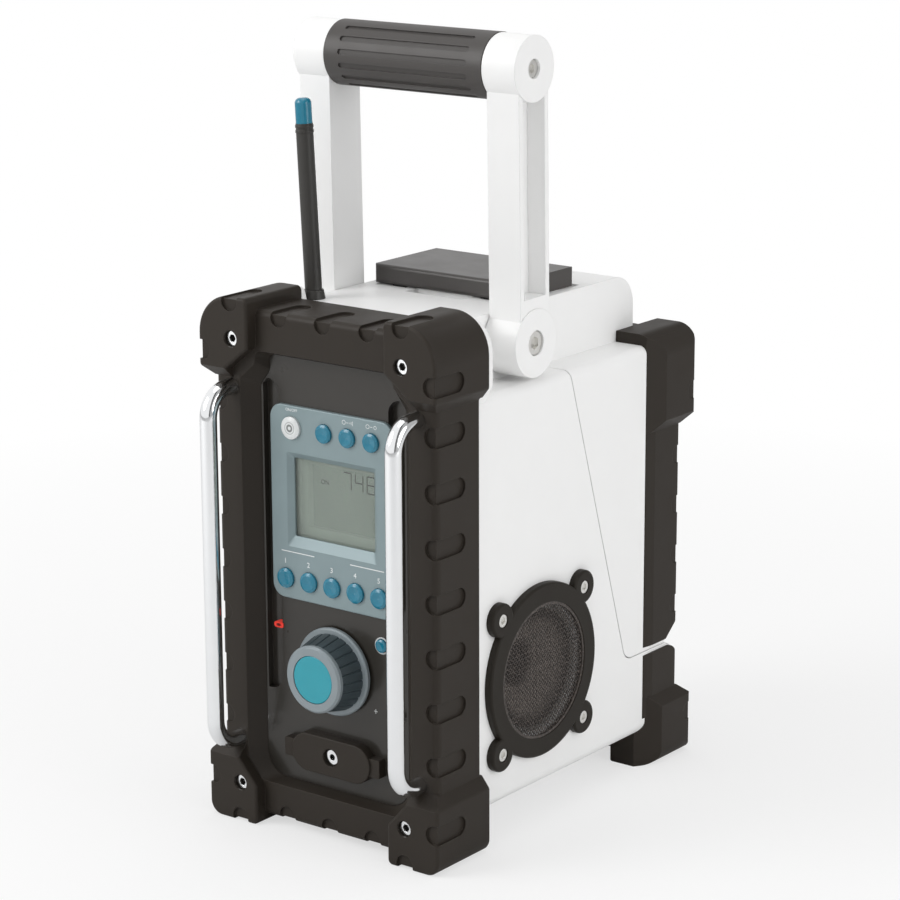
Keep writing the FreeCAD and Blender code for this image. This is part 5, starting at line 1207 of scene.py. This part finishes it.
        # The camera is placed from the plane of the front corner blocks.
        corner_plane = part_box("front_bumper")[0].y
        spot = Vector((0.0, corner_plane, 0.0)) + back * values.distance
        spot += rolled_right * values.aim_right + rolled_up * values.aim_up
        data = bpy.data.cameras.new("photo_camera")
        data.sensor_fit = "HORIZONTAL"
        data.sensor_width = 36.0
        data.lens = values.lens
        camera = bpy.data.objects.new("photo_camera", data)
        bpy.context.collection.objects.link(camera)
        turn = Matrix((rolled_right, rolled_up, back)).transposed().to_4x4()
        camera.matrix_world = Matrix.Translation(spot) @ turn
        scene = bpy.context.scene
        scene.camera = camera
        scene.view_settings.view_transform = "Standard"


STEPS = (
    RADIO_OT_shells,
    RADIO_OT_bumpers,
    RADIO_OT_panel,
    RADIO_OT_display,
    RADIO_OT_legends,
    RADIO_OT_knob,
    RADIO_OT_metalwork,
    RADIO_OT_speakers,
    RADIO_OT_woven_grilles,
    RADIO_OT_soft_parts,
    RADIO_OT_inner_parts,
    RADIO_OT_studio,
)


class RADIO_PT_pieces(bpy.types.Panel):
    """Lists the steps that build the radio's looks"""
    bl_idname = "RADIO_PT_pieces"
    bl_label = "Jobsite radio"
    bl_space_type = "VIEW_3D"
    bl_region_type = "UI"
    bl_category = "Radio"

    def draw(self, context):
        layout = self.layout
        for step in STEPS:
            layout.operator(step.bl_idname)
        for group in (colours(), sizes(), stage_values()):
            box = layout.box()
            for name in group.__annotations__:
                box.prop(group, name)


GROUPS = (RadioColours, RadioSizes, RadioStage)


def register():
    for each in GROUPS + STEPS + (RADIO_PT_pieces,):
        bpy.utils.register_class(each)
    bpy.types.Scene.radio_colours = bpy.props.PointerProperty(type=RadioColours)
    bpy.types.Scene.radio_sizes = bpy.props.PointerProperty(type=RadioSizes)
    bpy.types.Scene.radio_stage = bpy.props.PointerProperty(type=RadioStage)


def unregister():
    del bpy.types.Scene.radio_stage
    del bpy.types.Scene.radio_sizes
    del bpy.types.Scene.radio_colours
    for each in reversed(GROUPS + STEPS + (RADIO_PT_pieces,)):
        bpy.utils.unregister_class(each)


def main():
    register()
    for step in STEPS:
        group, action = step.bl_idname.split(".")
        result = getattr(getattr(bpy.ops, group), action)()
        if result != {"FINISHED"}:
            raise RuntimeError(step.bl_label + " was not finished")


if __name__ == "__main__":
    main()
